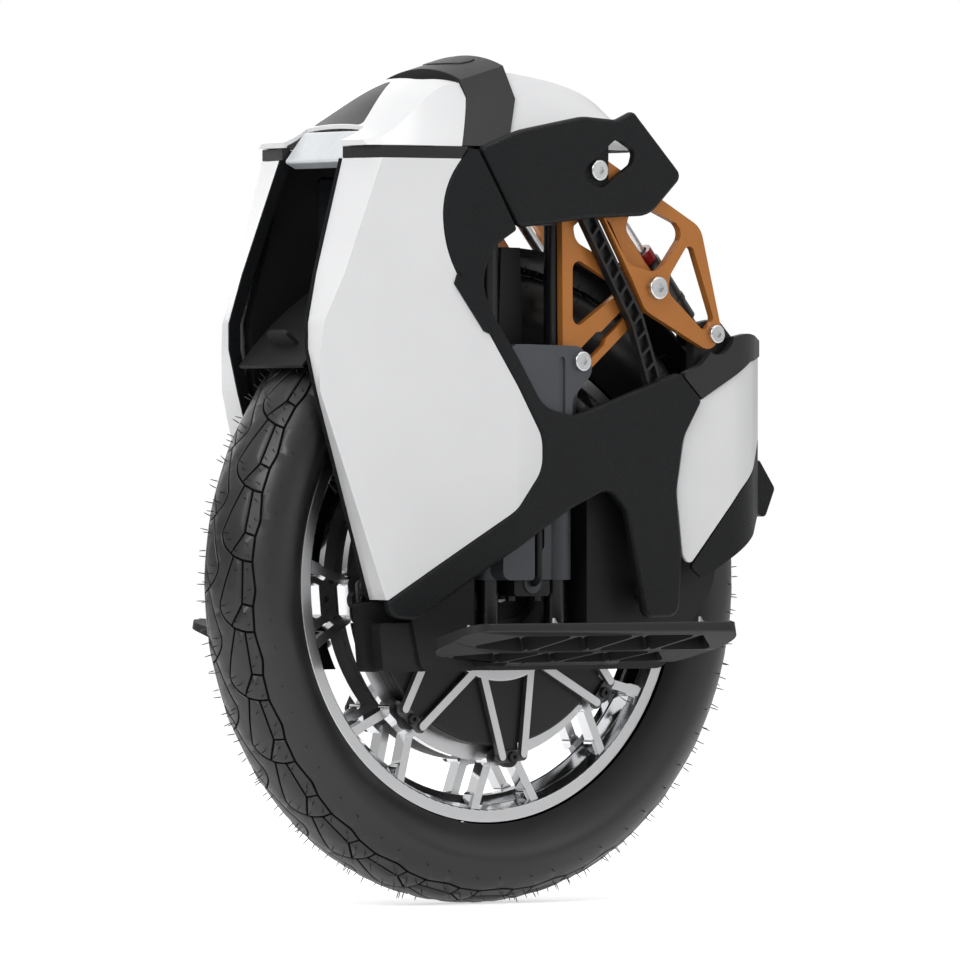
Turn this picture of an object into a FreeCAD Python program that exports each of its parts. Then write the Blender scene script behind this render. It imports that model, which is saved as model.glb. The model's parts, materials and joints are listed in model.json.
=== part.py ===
import FreeCAD, Part
import math
import os

# Electric unicycle with a linkage suspension, in millimetres.
# +X is forward, +Y is the rider's left, +Z is up.
# Everything is drawn about the wheel's centre and lifted so that the tyre stands on Z = 0.

os.makedirs("parts", exist_ok=True)
Vector = FreeCAD.Vector

# Fits
RUNNING_FIT = 0.04
SEAT_GAP = 0.1
FREE_GAP = 0.6

# Wheel
RIM_RADIUS = 180.0
TYRE_SECTION = 60.0
TYRE_RADIUS = RIM_RADIUS + TYRE_SECTION
TYRE_HALF_WIDTH = 40.0
RIM_HALF_WIDTH = 21.6
FLANGE_HEIGHT = 7.6
BEAD_RADIUS = RIM_RADIUS - FLANGE_HEIGHT
LUG_COUNT = 8
WHEEL_PHASE = 5.35
VALVE_ANGLE = 20.0
SPOKE_ROOM = 50.4
MOTOR_RADIUS = BEAD_RADIUS - SPOKE_ROOM
LUG_STEP = 9.0
LUG_RADIUS = MOTOR_RADIUS + LUG_STEP
VALVE_ROOM = 8.4
MOTOR_HALF_WIDTH = 24.0
COVER_THICKNESS = 6.0
AXLE_RADIUS = 12.5
AXLE_END_RADIUS = 8.0
AXLE_HALF_LENGTH = 72.0
BEARING_RADIUS = 22.0
BEARING_WIDTH = 8.0

# Suspension
TRAVEL = 80.0
TUBE_X = 32.0
TUBE_Y = 58.0
TUBE_RADIUS = 8.0
TUBE_TOP = 300.0
TUBE_BOTTOM = -52.0
BUSH_WALL = 1.6
SLEEVE_RADIUS = 12.2
SLIDER_TOP = 177.0
EAR_PIVOT = (-36.3, 164.7)
ROCKER_PIVOT = (-108.0, 220.0)
BRACKET_TOP_PIVOT = (-49.0, 307.0)
BRACKET_REAR_PIVOT = (-166.0, 186.0)
SHOCK_TOP_PIVOT = (-82.0, 287.0)
EAR_PIN_RADIUS = 3.5
LINK_SHANK_RADIUS = 5.0
ROCKER_SLOT = 12.4
SLOT_LAG = 1.52

CABLE_RADIUS = 2.8
POCKET_FLOOR = 62.0
CAP_BOLT_X = 12.5
CAP_BOLT_Y = 61.0
STAY_OUTER = 45.6
MUDGUARD_HALF = 38.0
MUDGUARD_GAP = 7.0
SHOCK_Y = 58.0
SHOCK_RADIUS = 10.5
SHOCK_BODY = 70.0
SHAFT_RADIUS = 4.5
SHOCK_PIN_RADIUS = 5.0

# Layers outwards from the middle plane
HOUSING_INNER = 47.0
HOUSING_OUTER = 69.5
ROCKER_INNER = 70.5
ROCKER_OUTER = 76.8
EAR_INNER = 77.5
SLIDER_OUTER = 84.0
LINK_INNER = 79.0
LINK_OUTER = 85.4
PANEL_INNER = 86.0
PANEL_OUTER = 92.0

# Body
SKIN = 3.0
DECK_BOTTOM = TYRE_RADIUS + TRAVEL + 15.0
DECK_TOP = DECK_BOTTOM + 7.0
COWL_DROP = 12.2
COWL_BOTTOM = DECK_BOTTOM - COWL_DROP
BELT_TOP = COWL_BOTTOM - 0.4
BELT_HEIGHT = 8.6
BELT_BOTTOM = BELT_TOP - BELT_HEIGHT
HANDLE_FRONT = 50.0
HANDLE_REAR = 9.0
FINGER_ROOM = 21.0
LEG_BEND = COWL_BOTTOM + 37.0
LEG_LEAN = 24.0
LAMP_HALF = 34.0
LAMP_X = 130.0
BODY_BOTTOM = -65.0
BEAM_HALF = 53.8

# Pedals
PEDAL_TILT = 13.0
PEDAL_HINGE_Y = 102.0
PEDAL_HINGE_Z = -52.0
PEDAL_FRONT = 138.0
PEDAL_REAR = -127.0
PEDAL_WIDTH = 76.0
PEDAL_INNER = 12.0
PEDAL_TOP = 7.0
PEDAL_SHAFT_RADIUS = 4.0
STUD_PITCH = 70.0
STUD_CENTRE = -13.0


def polar(radius, degrees):
    angle = math.radians(degrees)
    return radius * math.cos(angle), radius * math.sin(angle)


def along(start, end, distance):
    length = math.hypot(end[0] - start[0], end[1] - start[1])
    return (start[0] + (end[0] - start[0]) * distance / length,
            start[1] + (end[1] - start[1]) * distance / length)


def rounded_edges(corners, place):
    # Each corner is (a, b, radius); place turns plane coordinates into a point in space.
    count = len(corners)
    spans = []
    for index in range(count):
        a, b, radius = corners[index]
        before = corners[index - 1]
        after = corners[(index + 1) % count]
        if radius <= 0:
            spans.append(((a, b), None, (a, b)))
            continue
        back = math.atan2(before[1] - b, before[0] - a)
        ahead = math.atan2(after[1] - b, after[0] - a)
        half = abs((ahead - back + math.pi) % (2 * math.pi) - math.pi) / 2
        reach = radius / math.tan(half)
        start = along((a, b), before, reach)
        finish = along((a, b), after, reach)
        middle = ((start[0] + finish[0]) / 2, (start[1] + finish[1]) / 2)
        crest = along((a, b), middle, radius / math.sin(half) - radius)
        spans.append((start, crest, finish))
    edges = []
    for index in range(count):
        start, crest, finish = spans[index]
        following = spans[(index + 1) % count][0]
        if crest:
            edges.append(Part.Arc(place(*start), place(*crest), place(*finish)).toShape())
        if math.hypot(following[0] - finish[0], following[1] - finish[1]) > 1e-4:
            edges.append(Part.makeLine(place(*finish), place(*following)))
    return Part.Wire(edges)


def plate(corners, inner, outer):
    # A rounded outline in the side view (x, z), from one layer to another.
    wire = rounded_edges(corners, lambda x, z: Vector(x, inner, z))
    return Part.Face(wire).extrude(Vector(0, outer - inner, 0))


def slab(corners, bottom, top):
    # A rounded outline in the plan view (x, y), between two heights.
    wire = rounded_edges(corners, lambda x, y: Vector(x, y, bottom))
    return Part.Face(wire).extrude(Vector(0, 0, top - bottom))


def rib_profile(corners, rear, front):
    # A rounded outline seen from the front (y, z), between two stations along X.
    wire = rounded_edges(corners, lambda y, z: Vector(rear, y, z))
    return Part.Face(wire).extrude(Vector(front - rear, 0, 0))


def pin(x, z, radius, inner, outer):
    return Part.makeCylinder(radius, outer - inner, Vector(x, inner, z), Vector(0, 1, 0))


def post(x, y, radius, bottom, top):
    return Part.makeCylinder(radius, top - bottom, Vector(x, y, bottom))


def brick(x0, x1, y0, y1, z0, z1):
    return Part.makeBox(x1 - x0, y1 - y0, z1 - z0, Vector(x0, y0, z0))


def capsule(start, end, half_width, inner, outer):
    # A straight bar with round ends in the side view.
    length = math.hypot(end[0] - start[0], end[1] - start[1])
    nx = -(end[1] - start[1]) / length * half_width
    nz = (end[0] - start[0]) / length * half_width
    corners = [(start[0] + nx, start[1] + nz, 0), (start[0] - nx, start[1] - nz, 0),
               (end[0] - nx, end[1] - nz, 0), (end[0] + nx, end[1] + nz, 0)]
    bar = plate(corners, inner, outer)
    ends = [pin(start[0], start[1], half_width, inner, outer), pin(end[0], end[1], half_width, inner, outer)]
    return bar.multiFuse(ends).removeSplitter()


def spin(corners):
    # A rounded profile (radius, y) turned about the axle.
    wire = rounded_edges(corners, lambda radius, y: Vector(radius, y, 0))
    return Part.Face(wire).revolve(Vector(0, 0, 0), Vector(0, 1, 0), 360)


def around(shape, degrees):
    copy = shape.copy()
    copy.rotate(Vector(0, 0, 0), Vector(0, 1, 0), degrees)
    return copy


def mirrored(shape):
    return shape.mirror(Vector(0, 0, 0), Vector(0, 1, 0))


def softened(shape, radius, chosen):
    edges = [edge for edge in shape.Edges if chosen(edge)]
    return shape.makeFillet(radius, edges)


def flat_at(edge, y):
    box = edge.BoundBox
    return abs(box.YMin - y) < 1e-3 and abs(box.YMax - y) < 1e-3


def hexagon(x, z, radius):
    points = [polar(radius, 60 * k) for k in range(6)]
    return [(x + a, z + b, 0) for a, b in points]


def socket_bolt(x, z, head_radius, shank_radius, shank_end, seat, head_height):
    # A button-head bolt along Y with a hexagon socket, its head on the outer side.
    shank = pin(x, z, shank_radius, shank_end, seat + 1)
    head = pin(x, z, head_radius, seat, seat + head_height)
    head = softened(head, head_height * 0.3, lambda edge: flat_at(edge, seat + head_height))
    key = plate(hexagon(x, z, head_radius * 0.42), seat + head_height * 0.45, seat + head_height + 1)
    return shank.fuse(head).cut(key).removeSplitter()


nodes = {}


def keep(name, *shapes):
    nodes[name] = Part.makeCompound(list(shapes)) if len(shapes) > 1 else shapes[0]


def keep_pair(name, shape):
    keep("left_" + name, shape)
    keep("right_" + name, mirrored(shape))


# Tyre, with a hollow carcass between its beads
def make_tyre():
    crown = TYRE_RADIUS
    wide = TYRE_HALF_WIDTH
    top = RIM_RADIUS + 0.4
    seat = BEAD_RADIUS + SEAT_GAP
    bead = RIM_HALF_WIDTH - SKIN - SEAT_GAP
    outside = [Vector(top, wide - 17, 0), Vector(top + 8, wide - 9.5, 0), Vector(top + 25, wide, 0),
               Vector(crown - 12, wide - 8, 0), Vector(crown, 0, 0), Vector(crown - 12, 8 - wide, 0),
               Vector(top + 25, -wide, 0), Vector(top + 8, 9.5 - wide, 0), Vector(top, 17 - wide, 0)]
    inside = [Vector(top + 4, 9 - bead, 0), Vector(top + 26, 8.5 - wide, 0), Vector(crown - 9, 0, 0),
              Vector(top + 26, wide - 8.5, 0), Vector(top + 4, bead - 9, 0)]
    outer = Part.BSplineCurve()
    outer.interpolate(outside)
    inner = Part.BSplineCurve()
    inner.interpolate(inside)
    toe = [(seat, bead - 8), (seat, bead - 2.2), (seat + 2.2, bead), (top, bead)]
    left_foot = [inside[-1]] + [Vector(radius, y, 0) for radius, y in toe] + [outside[0]]
    right_foot = [outside[-1]] + [Vector(radius, -y, 0) for radius, y in reversed(toe)] + [inside[0]]
    wire = Part.Wire([outer.toShape()] + Part.makePolygon(right_foot).Edges
                     + [inner.toShape()] + Part.makePolygon(left_foot).Edges)
    keep("tyre", Part.Face(wire).revolve(Vector(0, 0, 0), Vector(0, 1, 0), 360))


# Polished rim with sixteen outer spokes on each side, pinched in pairs at the lugs
def make_rim():
    edge = RIM_HALF_WIDTH
    half = [(RIM_RADIUS, edge, 1.2), (RIM_RADIUS, edge - SKIN, 1.2), (BEAD_RADIUS, edge - SKIN, 2),
            (BEAD_RADIUS, 9, 2), (BEAD_RADIUS - 8, 5, 3)]
    well = half + [(radius, -y, r) for radius, y, r in reversed(half)]
    mouth = BEAD_RADIUS - 2.4
    drop = [(mouth, -edge, 1), (BEAD_RADIUS - 6, -13, 3), (BEAD_RADIUS - 13, -5, 3),
            (BEAD_RADIUS - 13, 5, 3), (BEAD_RADIUS - 6, 13, 3), (mouth, edge, 1)]
    barrel = spin(well + drop)
    root = BEAD_RADIUS - 2.6
    bars = []
    for side in (-1, 1):
        tip = polar(root, 9.9 * side)
        foot = polar(LUG_RADIUS, 5.0 * side)
        bars += [capsule(tip, foot, 3.5, 9, edge - 2), capsule(tip, along(tip, foot, 9), 4.8, 8, edge - 4)]
    pad = capsule(polar(LUG_RADIUS, -5.0), polar(LUG_RADIUS, 5.0), 6.4, 11, MOTOR_HALF_WIDTH - SEAT_GAP)
    pad = pad.cut(pin(LUG_RADIUS, 0, 2.6, 0, 30))
    ring = spin([(LUG_RADIUS + 2, 11, 0), (LUG_RADIUS + 2, 17, 0),
                 (MOTOR_RADIUS + SEAT_GAP, 17, 0), (MOTOR_RADIUS + SEAT_GAP, 11, 0)])
    trim = spin([(root, -30, 0), (root, 30, 0), (root + 34, 30, 0), (root + 34, -30, 0)])
    group = pad.multiFuse(bars).cut(trim)
    side_parts = [ring]
    for index in range(LUG_COUNT):
        side_parts.append(around(group, 360 / LUG_COUNT * index))
    near = side_parts[0].multiFuse(side_parts[1:])
    bolt_holes = [around(pin(LUG_RADIUS, 0, 2.6, 0, 30), 360 / LUG_COUNT * k) for k in range(LUG_COUNT)]
    near = near.cut(Part.makeCompound(bolt_holes))
    rim = barrel.multiFuse([near, mirrored(near)])
    valve_hole = post(0, 0, 3 + SEAT_GAP, BEAD_RADIUS - 20, BEAD_RADIUS + 1)
    keep("rim", rim.cut(around(valve_hole, VALVE_ANGLE)).removeSplitter())


# Motor shell, covers, magnets, bearings and the star spiders on the covers
def make_motor():
    half = MOTOR_HALF_WIDTH - SEAT_GAP
    keep("motor_shell", spin([(MOTOR_RADIUS, -half, 1), (MOTOR_RADIUS, half, 1),
                              (MOTOR_RADIUS - 10, half, 0), (MOTOR_RADIUS - 10, -half, 0)]))
    magnet_count = 28
    face = Part.makePolygon([Vector(MOTOR_RADIUS - 10.1, -18, 0), Vector(MOTOR_RADIUS - 10.1, 18, 0),
                             Vector(MOTOR_RADIUS - 14, 18, 0), Vector(MOTOR_RADIUS - 14, -18, 0),
                             Vector(MOTOR_RADIUS - 10.1, -18, 0)])
    magnet = Part.Face(face).revolve(Vector(0, 0, 0), Vector(0, 1, 0), 9.5)
    keep("rotor_magnets", *[around(magnet, 360 / magnet_count * k) for k in range(magnet_count)])

    inner = MOTOR_HALF_WIDTH
    outer = MOTOR_HALF_WIDTH + COVER_THICKNESS
    boss = outer + 8
    seat = BEARING_RADIUS + RUNNING_FIT
    cover = spin([(MOTOR_RADIUS, inner, 0), (MOTOR_RADIUS, outer, 2), (58, outer, 3), (34, boss, 4),
                  (28, boss, 0), (28, boss - 3, 0), (15, boss - 3, 0), (15, boss - 5, 0), (seat, boss - 5, 0),
                  (seat, inner + 3, 0), (28, inner + 3, 0), (40, inner, 3)])
    tab = capsule(polar(LUG_RADIUS - 12, 0), polar(LUG_RADIUS, 0), 8, inner, outer)
    hole = pin(LUG_RADIUS, 0, 2.6, 0, 60)
    angles = [360 / LUG_COUNT * k for k in range(LUG_COUNT)]
    cover = cover.multiFuse([around(tab, angle) for angle in angles])
    cover = cover.cut(Part.makeCompound([around(hole, angle) for angle in angles])).removeSplitter()
    keep("motor_covers", cover, mirrored(cover))

    # Star arms zigzag between the lugs and a ring round the bearing boss
    base = outer + SEAT_GAP
    crest = base + 4.5
    step = 180 / LUG_COUNT
    arms = []
    for angle in angles:
        for side in (-1, 1):
            tip = polar(LUG_RADIUS - 1, angle + 4.6 * side)
            root = polar(70, angle + step * 0.86 * side)
            arms.append(capsule(tip, root, 3.1, base, crest))
        ends = [polar(LUG_RADIUS, angle + 4.6 * side) for side in (-1, 1)]
        arms.append(capsule(ends[0], ends[1], 4.4, base, crest - 2))
    hub = spin([(74, base, 0), (74, crest, 1), (62, crest, 1), (62, base, 0)])
    star = hub.multiFuse(arms)
    star = star.cut(Part.makeCompound([around(hole, angle) for angle in angles])).removeSplitter()
    keep("spiders", star, mirrored(star))

    bolts = []
    for angle in angles:
        x, z = polar(LUG_RADIUS, angle)
        bolt = socket_bolt(x, z, 4.2, 2.5, MOTOR_HALF_WIDTH - 9, crest - 2 + SEAT_GAP, 3)
        bolts += [bolt, mirrored(bolt)]
    keep("wheel_bolts", *bolts)

    bore = AXLE_RADIUS + RUNNING_FIT
    near = boss - 5 - BEARING_WIDTH
    far = boss - 5 - SEAT_GAP
    bearing = spin([(bore, near, 0.6), (bore, far, 0.6), (BEARING_RADIUS, far, 0.6),
                    (BEARING_RADIUS, near, 0.6)])
    keep("wheel_bearings", bearing, mirrored(bearing))

    # Valve through the rim's well
    cap_foot = MOTOR_RADIUS + VALVE_ROOM
    stem = post(0, 0, 3, cap_foot + 4, BEAD_RADIUS - 6)
    cap = post(0, 0, 4, cap_foot, cap_foot + 9)
    foot = post(0, 0, 4.4, BEAD_RADIUS - 7.6, BEAD_RADIUS - 4.6)
    keep("tyre_valve", around(stem.multiFuse([cap, foot]).removeSplitter(), VALVE_ANGLE))


# Axle, stator and the axle's caps
def make_axle():
    core = pin(0, 0, AXLE_RADIUS, -43, 43)
    ends = pin(0, 0, AXLE_END_RADIUS, -AXLE_HALF_LENGTH, AXLE_HALF_LENGTH)
    axle = core.fuse(ends).removeSplitter()
    axle = axle.cut(pin(0, 0, CABLE_RADIUS + SEAT_GAP, 8, AXLE_HALF_LENGTH + 1))
    keep("axle", axle)

    stack = 17
    rotor_gap = MOTOR_RADIUS - 15.5
    core = spin([(AXLE_RADIUS + SEAT_GAP, -stack, 0), (AXLE_RADIUS + SEAT_GAP, stack, 0),
                 (rotor_gap, stack, 0), (rotor_gap, -stack, 0)])
    slot = capsule(polar(76, 0), polar(rotor_gap - 7, 0), 4.5, -stack - 1, stack + 1)
    mouth = brick(rotor_gap - 8, rotor_gap + 2, -stack - 1, stack + 1, -1.2, 1.2)
    slot = slot.fuse(mouth)
    slot_count = 24
    slots = [around(slot, 360 / slot_count * k) for k in range(slot_count)]
    keep("stator", core.cut(Part.makeCompound(slots)))

    cap = plate([(-17, -10, 3), (17, -10, 3), (17, 1.6, 1), (-17, 1.6, 1)], 51, 71)
    cap = cap.cut(pin(0, 0, AXLE_END_RADIUS + SEAT_GAP / 2, 40, 90))
    bolts = []
    for x in (-CAP_BOLT_X, CAP_BOLT_X):
        cap = cap.cut(post(x, CAP_BOLT_Y, 2 + SEAT_GAP, -20, 20))
        shank = post(x, CAP_BOLT_Y, 2, -11, 14)
        bolts.append(shank.fuse(post(x, CAP_BOLT_Y, 3.6, -13.6, -10 - SEAT_GAP)).removeSplitter())
    keep("axle_caps", cap, mirrored(cap))
    keep("cap_bolts", *(bolts + [mirrored(bolt) for bolt in bolts]))


# Slider blocks with an ear for the rocker, their bushes and the ear bolts
def make_sliders():
    bottom = 2.0
    sleeves = [post(x, TUBE_Y, SLEEVE_RADIUS, bottom, SLIDER_TOP) for x in (-TUBE_X, TUBE_X)]
    web = brick(-TUBE_X, TUBE_X, 49, 66, bottom, SLIDER_TOP - 12)
    face = plate([(8, bottom, 3), (38, bottom, 7), (38, 152, 14), (30, SLIDER_TOP, 8), (8, SLIDER_TOP, 2)],
                 62, SLIDER_OUTER)
    x, z = EAR_PIVOT
    ear = plate([(14, SLIDER_TOP, 1), (x, z + 11.3, 11), (x - 14, z - 6, 10), (x + 8, z - 28, 8),
                 (x + 8, 62, 4), (14, 62, 4)], EAR_INNER, SLIDER_OUTER)
    groove = capsule((x + 18, 72), (x + 18, SLIDER_TOP - 12), 3, SLIDER_OUTER - 1.6, SLIDER_OUTER + 1)
    pad = plate([(-14, 118, 4), (14, 118, 4), (14, 160, 4), (-14, 160, 4)], STAY_OUTER + SEAT_GAP, 50)
    block = sleeves[0].multiFuse([sleeves[1], web, face, ear.cut(groove), pad])
    bores = [pin(0, 0, AXLE_END_RADIUS + SEAT_GAP / 2, 40, 90),
             pin(x, z, EAR_PIN_RADIUS + SEAT_GAP, EAR_INNER - 1, 90)]
    bushes = []
    bush_length = 18
    bush_radius = TUBE_RADIUS + BUSH_WALL
    for tube_x in (-TUBE_X, TUBE_X):
        bores.append(post(tube_x, TUBE_Y, TUBE_RADIUS + FREE_GAP, 0, 200))
        for low in (bottom, SLIDER_TOP - bush_length):
            high = low + bush_length
            bores.append(post(tube_x, TUBE_Y, bush_radius + SEAT_GAP / 2, low, high))
            bush = post(tube_x, TUBE_Y, bush_radius, low, high)
            bushes.append(bush.cut(post(tube_x, TUBE_Y, TUBE_RADIUS + RUNNING_FIT, low - 1, high + 1)))
    for cap_x in (-CAP_BOLT_X, CAP_BOLT_X):
        bores.append(post(cap_x, CAP_BOLT_Y, 2 + SEAT_GAP, 0, 15))
    # Shallow pockets lighten the web between the sleeves
    for low in (24, 66):
        high = low + 34
        bores.append(plate([(-16, low, 4), (4, low, 4), (4, high, 4), (-16, high, 4)], POCKET_FLOOR, 67))
    block = block.cut(Part.makeCompound(bores)).removeSplitter()
    keep_pair("slider", block)
    keep("slider_bushes", *(bushes + [mirrored(bush) for bush in bushes]))
    bolt = socket_bolt(x, z, 7.5, EAR_PIN_RADIUS, ROCKER_INNER + 0.6, SLIDER_OUTER + SEAT_GAP, 4)
    keep("ear_bolts", bolt, mirrored(bolt))


# Mudguard over the tyre, carried by two stays on the sliders
def make_mudguard():
    inner = TYRE_RADIUS + MUDGUARD_GAP
    outer = inner + SKIN
    wire = rounded_edges([(inner, -MUDGUARD_HALF, 1), (outer, -MUDGUARD_HALF, 1), (outer, MUDGUARD_HALF, 1),
                          (inner, MUDGUARD_HALF, 1)], lambda radius, y: Vector(radius, y, 0))
    sweep = 104
    arc = Part.Face(wire).revolve(Vector(0, 0, 0), Vector(0, 1, 0), -sweep)
    arc = around(arc, -40)
    tab = rib_profile([(-15, outer - 1.5, 0), (15, outer - 1.5, 0), (11, outer + 13, 4),
                       (-11, outer + 13, 4)], -1.6, 1.6)
    parts = [around(tab, 45)]
    for side in (-1, 1):
        foot = sorted((side * (STAY_OUTER - 2.5), side * STAY_OUTER))
        bridge = sorted((side * (MUDGUARD_HALF - 2), side * STAY_OUTER))
        stay = plate([(-14, 118, 4), (14, 118, 4), (9, outer - 0.4, 0), (-9, outer - 0.4, 0)], *foot)
        parts += [stay, brick(-9, 9, bridge[0], bridge[1], inner + 0.1, outer - 0.4)]
    keep("mudguard", arc.multiFuse(parts).removeSplitter())


# Motor cable from the hollow axle end up into the left slider block
def make_cable():
    bend = 6.0
    out = AXLE_HALF_LENGTH + 0.5
    riser = out + bend
    top = 44.0
    side = bend * math.sqrt(0.5)
    points = [Vector(0, 60, 0), Vector(0, out, 0), Vector(0, out + side, bend - side), Vector(0, riser, bend),
              Vector(0, riser, top), Vector(0, out + side, top + side), Vector(0, out, top + bend),
              Vector(0, POCKET_FLOOR + SEAT_GAP, top + bend)]
    path = Part.Wire([Part.makeLine(points[0], points[1]), Part.Arc(*points[1:4]).toShape(),
                      Part.makeLine(points[3], points[4]), Part.Arc(*points[4:7]).toShape(),
                      Part.makeLine(points[6], points[7])])
    ring = Part.Wire(Part.makeCircle(CABLE_RADIUS, points[0], Vector(0, 1, 0)))
    keep("motor_cable", path.makePipeShell([ring], True, True))


# Dark inner housings with the battery bays open towards the wheel
def make_housings():
    nose = plate([(54, BODY_BOTTOM, 4), (147, BODY_BOTTOM, 4), (152, -14, 4), (123, -13, 3), (169, 145, 20),
                  (173, 192, 12), (140, 311, 5), (54, 311, 4)], HOUSING_INNER, 56)
    bay = plate([(54, BODY_BOTTOM, 4), (104, BODY_BOTTOM, 10), (116, -14, 8), (116, 311, 5), (54, 311, 4)],
                HOUSING_INNER, HOUSING_OUTER)
    toe = plate([(98, BODY_BOTTOM, 4), (138, BODY_BOTTOM, 4), (142, -29, 4), (98, -29, 4)], HOUSING_INNER, 67)
    rear = plate([(-54, BODY_BOTTOM, 4), (-128, BODY_BOTTOM, 16), (-176, -6, 30), (-196, 72, 24),
                  (-166, 120, 18), (-108, 138, 10), (-54, 106, 8)], HOUSING_INNER, HOUSING_OUTER)
    band = plate([(-60, BODY_BOTTOM, 0), (60, BODY_BOTTOM, 0), (60, -38, 0), (-60, -38, 0)],
                 HOUSING_INNER, HOUSING_INNER + SKIN)
    front_bay = [(59, -24, 5), (110, -24, 8), (110, 302, 5), (59, 302, 5)]
    rear_bay = [(-59, -24, 5), (-150, -24, 14), (-176, 70, 16), (-156, 100, 12), (-59, 92, 8)]
    floor = HOUSING_OUTER - SKIN
    housing = nose.multiFuse([bay, toe, rear, band]).removeSplitter()
    packs = []
    for outline in (front_bay, rear_bay):
        housing = housing.cut(plate(outline, HOUSING_INNER - 1, floor))
        middle_x = sum(corner[0] for corner in outline) / len(outline)
        middle_z = sum(corner[1] for corner in outline) / len(outline)
        shrunk = [(middle_x + (x - middle_x) * 0.985, middle_z + (z - middle_z) * 0.99, r)
                  for x, z, r in outline]
        packs.append(plate(shrunk, HOUSING_INNER + 1, floor - SEAT_GAP))
    keep_pair("housing", housing)
    keep("battery_packs", *(packs + [mirrored(pack) for pack in packs]))


# Guide tubes, the crown that joins both sides above the wheel, and the sills below
def make_spine():
    tubes = []
    for x in (-TUBE_X, TUBE_X):
        tube = post(x, TUBE_Y, TUBE_RADIUS, TUBE_BOTTOM, TUBE_TOP)
        tubes.append(tube.cut(post(x, TUBE_Y, TUBE_RADIUS - 2, TUBE_BOTTOM - 1, TUBE_TOP + 1)))
    keep("guide_tubes", *(tubes + [mirrored(tube) for tube in tubes]))

    low = SLIDER_TOP + TRAVEL + 9
    fit = TUBE_RADIUS + SEAT_GAP / 2
    clamp = plate([(-46, low, 6), (40, low, 6), (BEAM_HALF, low + 16, 4), (BEAM_HALF, 310, 4), (46, 321, 3),
                   (-46, 321, 3)], HOUSING_INNER, HOUSING_OUTER)
    riser = plate([(-40, 316, 0), (44, 316, 0), (40, DECK_TOP, 0), (-36, DECK_TOP, 0)], HOUSING_INNER, 55)
    boss = plate([(2, low + 20, 6), (30, low + 20, 6), (30, 318, 6), (2, 318, 6)],
                 HOUSING_OUTER - 1, PANEL_INNER - SEAT_GAP)
    holes = [post(x, TUBE_Y, fit, low - 1, TUBE_TOP + SEAT_GAP) for x in (-TUBE_X, TUBE_X)]
    relief = plate([(-14, low + 14, 5), (14, low + 14, 5), (14, 306, 5), (-14, 306, 5)],
                   HOUSING_INNER - 1, HOUSING_OUTER - 5)
    side = clamp.multiFuse([riser, boss]).cut(Part.makeCompound(holes + [relief]))
    deck = slab([(-92, -46, 10), (46, -54, 10), (46, 54, 10), (-92, 46, 10)], DECK_BOTTOM, DECK_TOP)
    keep("crown", deck.multiFuse([side, mirrored(side)]).removeSplitter())

    under = BODY_BOTTOM + 0.5
    beam = plate([(-BEAM_HALF, under, 6), (BEAM_HALF, under, 6), (BEAM_HALF, -37, 4), (-BEAM_HALF, -37, 4)],
                 HOUSING_INNER + SKIN + SEAT_GAP, 84)
    beam = beam.cut(plate([(-18, -60, 4), (18, -60, 4), (18, -42, 4), (-18, -42, 4)], 70, 90))
    lugs = []
    def on_hinge(radius, rear, front):
        centre = Vector(rear, PEDAL_HINGE_Y, PEDAL_HINGE_Z)
        return Part.makeCylinder(radius, front - rear, centre, Vector(1, 0, 0))

    for near, far in ((-BEAM_HALF, -40), (40, BEAM_HALF)):
        lugs.append(brick(near, far, 80, PEDAL_HINGE_Y, PEDAL_HINGE_Z - 9, PEDAL_HINGE_Z + 9))
        lugs.append(on_hinge(9, near, far))
    wells = [post(x, TUBE_Y, fit, TUBE_BOTTOM - SEAT_GAP, 0) for x in (-TUBE_X, TUBE_X)]
    wells.append(on_hinge(PEDAL_SHAFT_RADIUS + SEAT_GAP / 2, -65, 65))
    keep_pair("sill", beam.multiFuse(lugs).cut(Part.makeCompound(wells)).removeSplitter())
    tip = BEAM_HALF + 2.7
    heads = [on_hinge(6.2, -tip, -BEAM_HALF - 0.4), on_hinge(6.2, BEAM_HALF + 0.4, tip)]
    shaft = on_hinge(PEDAL_SHAFT_RADIUS, -tip, tip).multiFuse(heads).removeSplitter()
    keep("pedal_shafts", shaft, mirrored(shaft))


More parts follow.
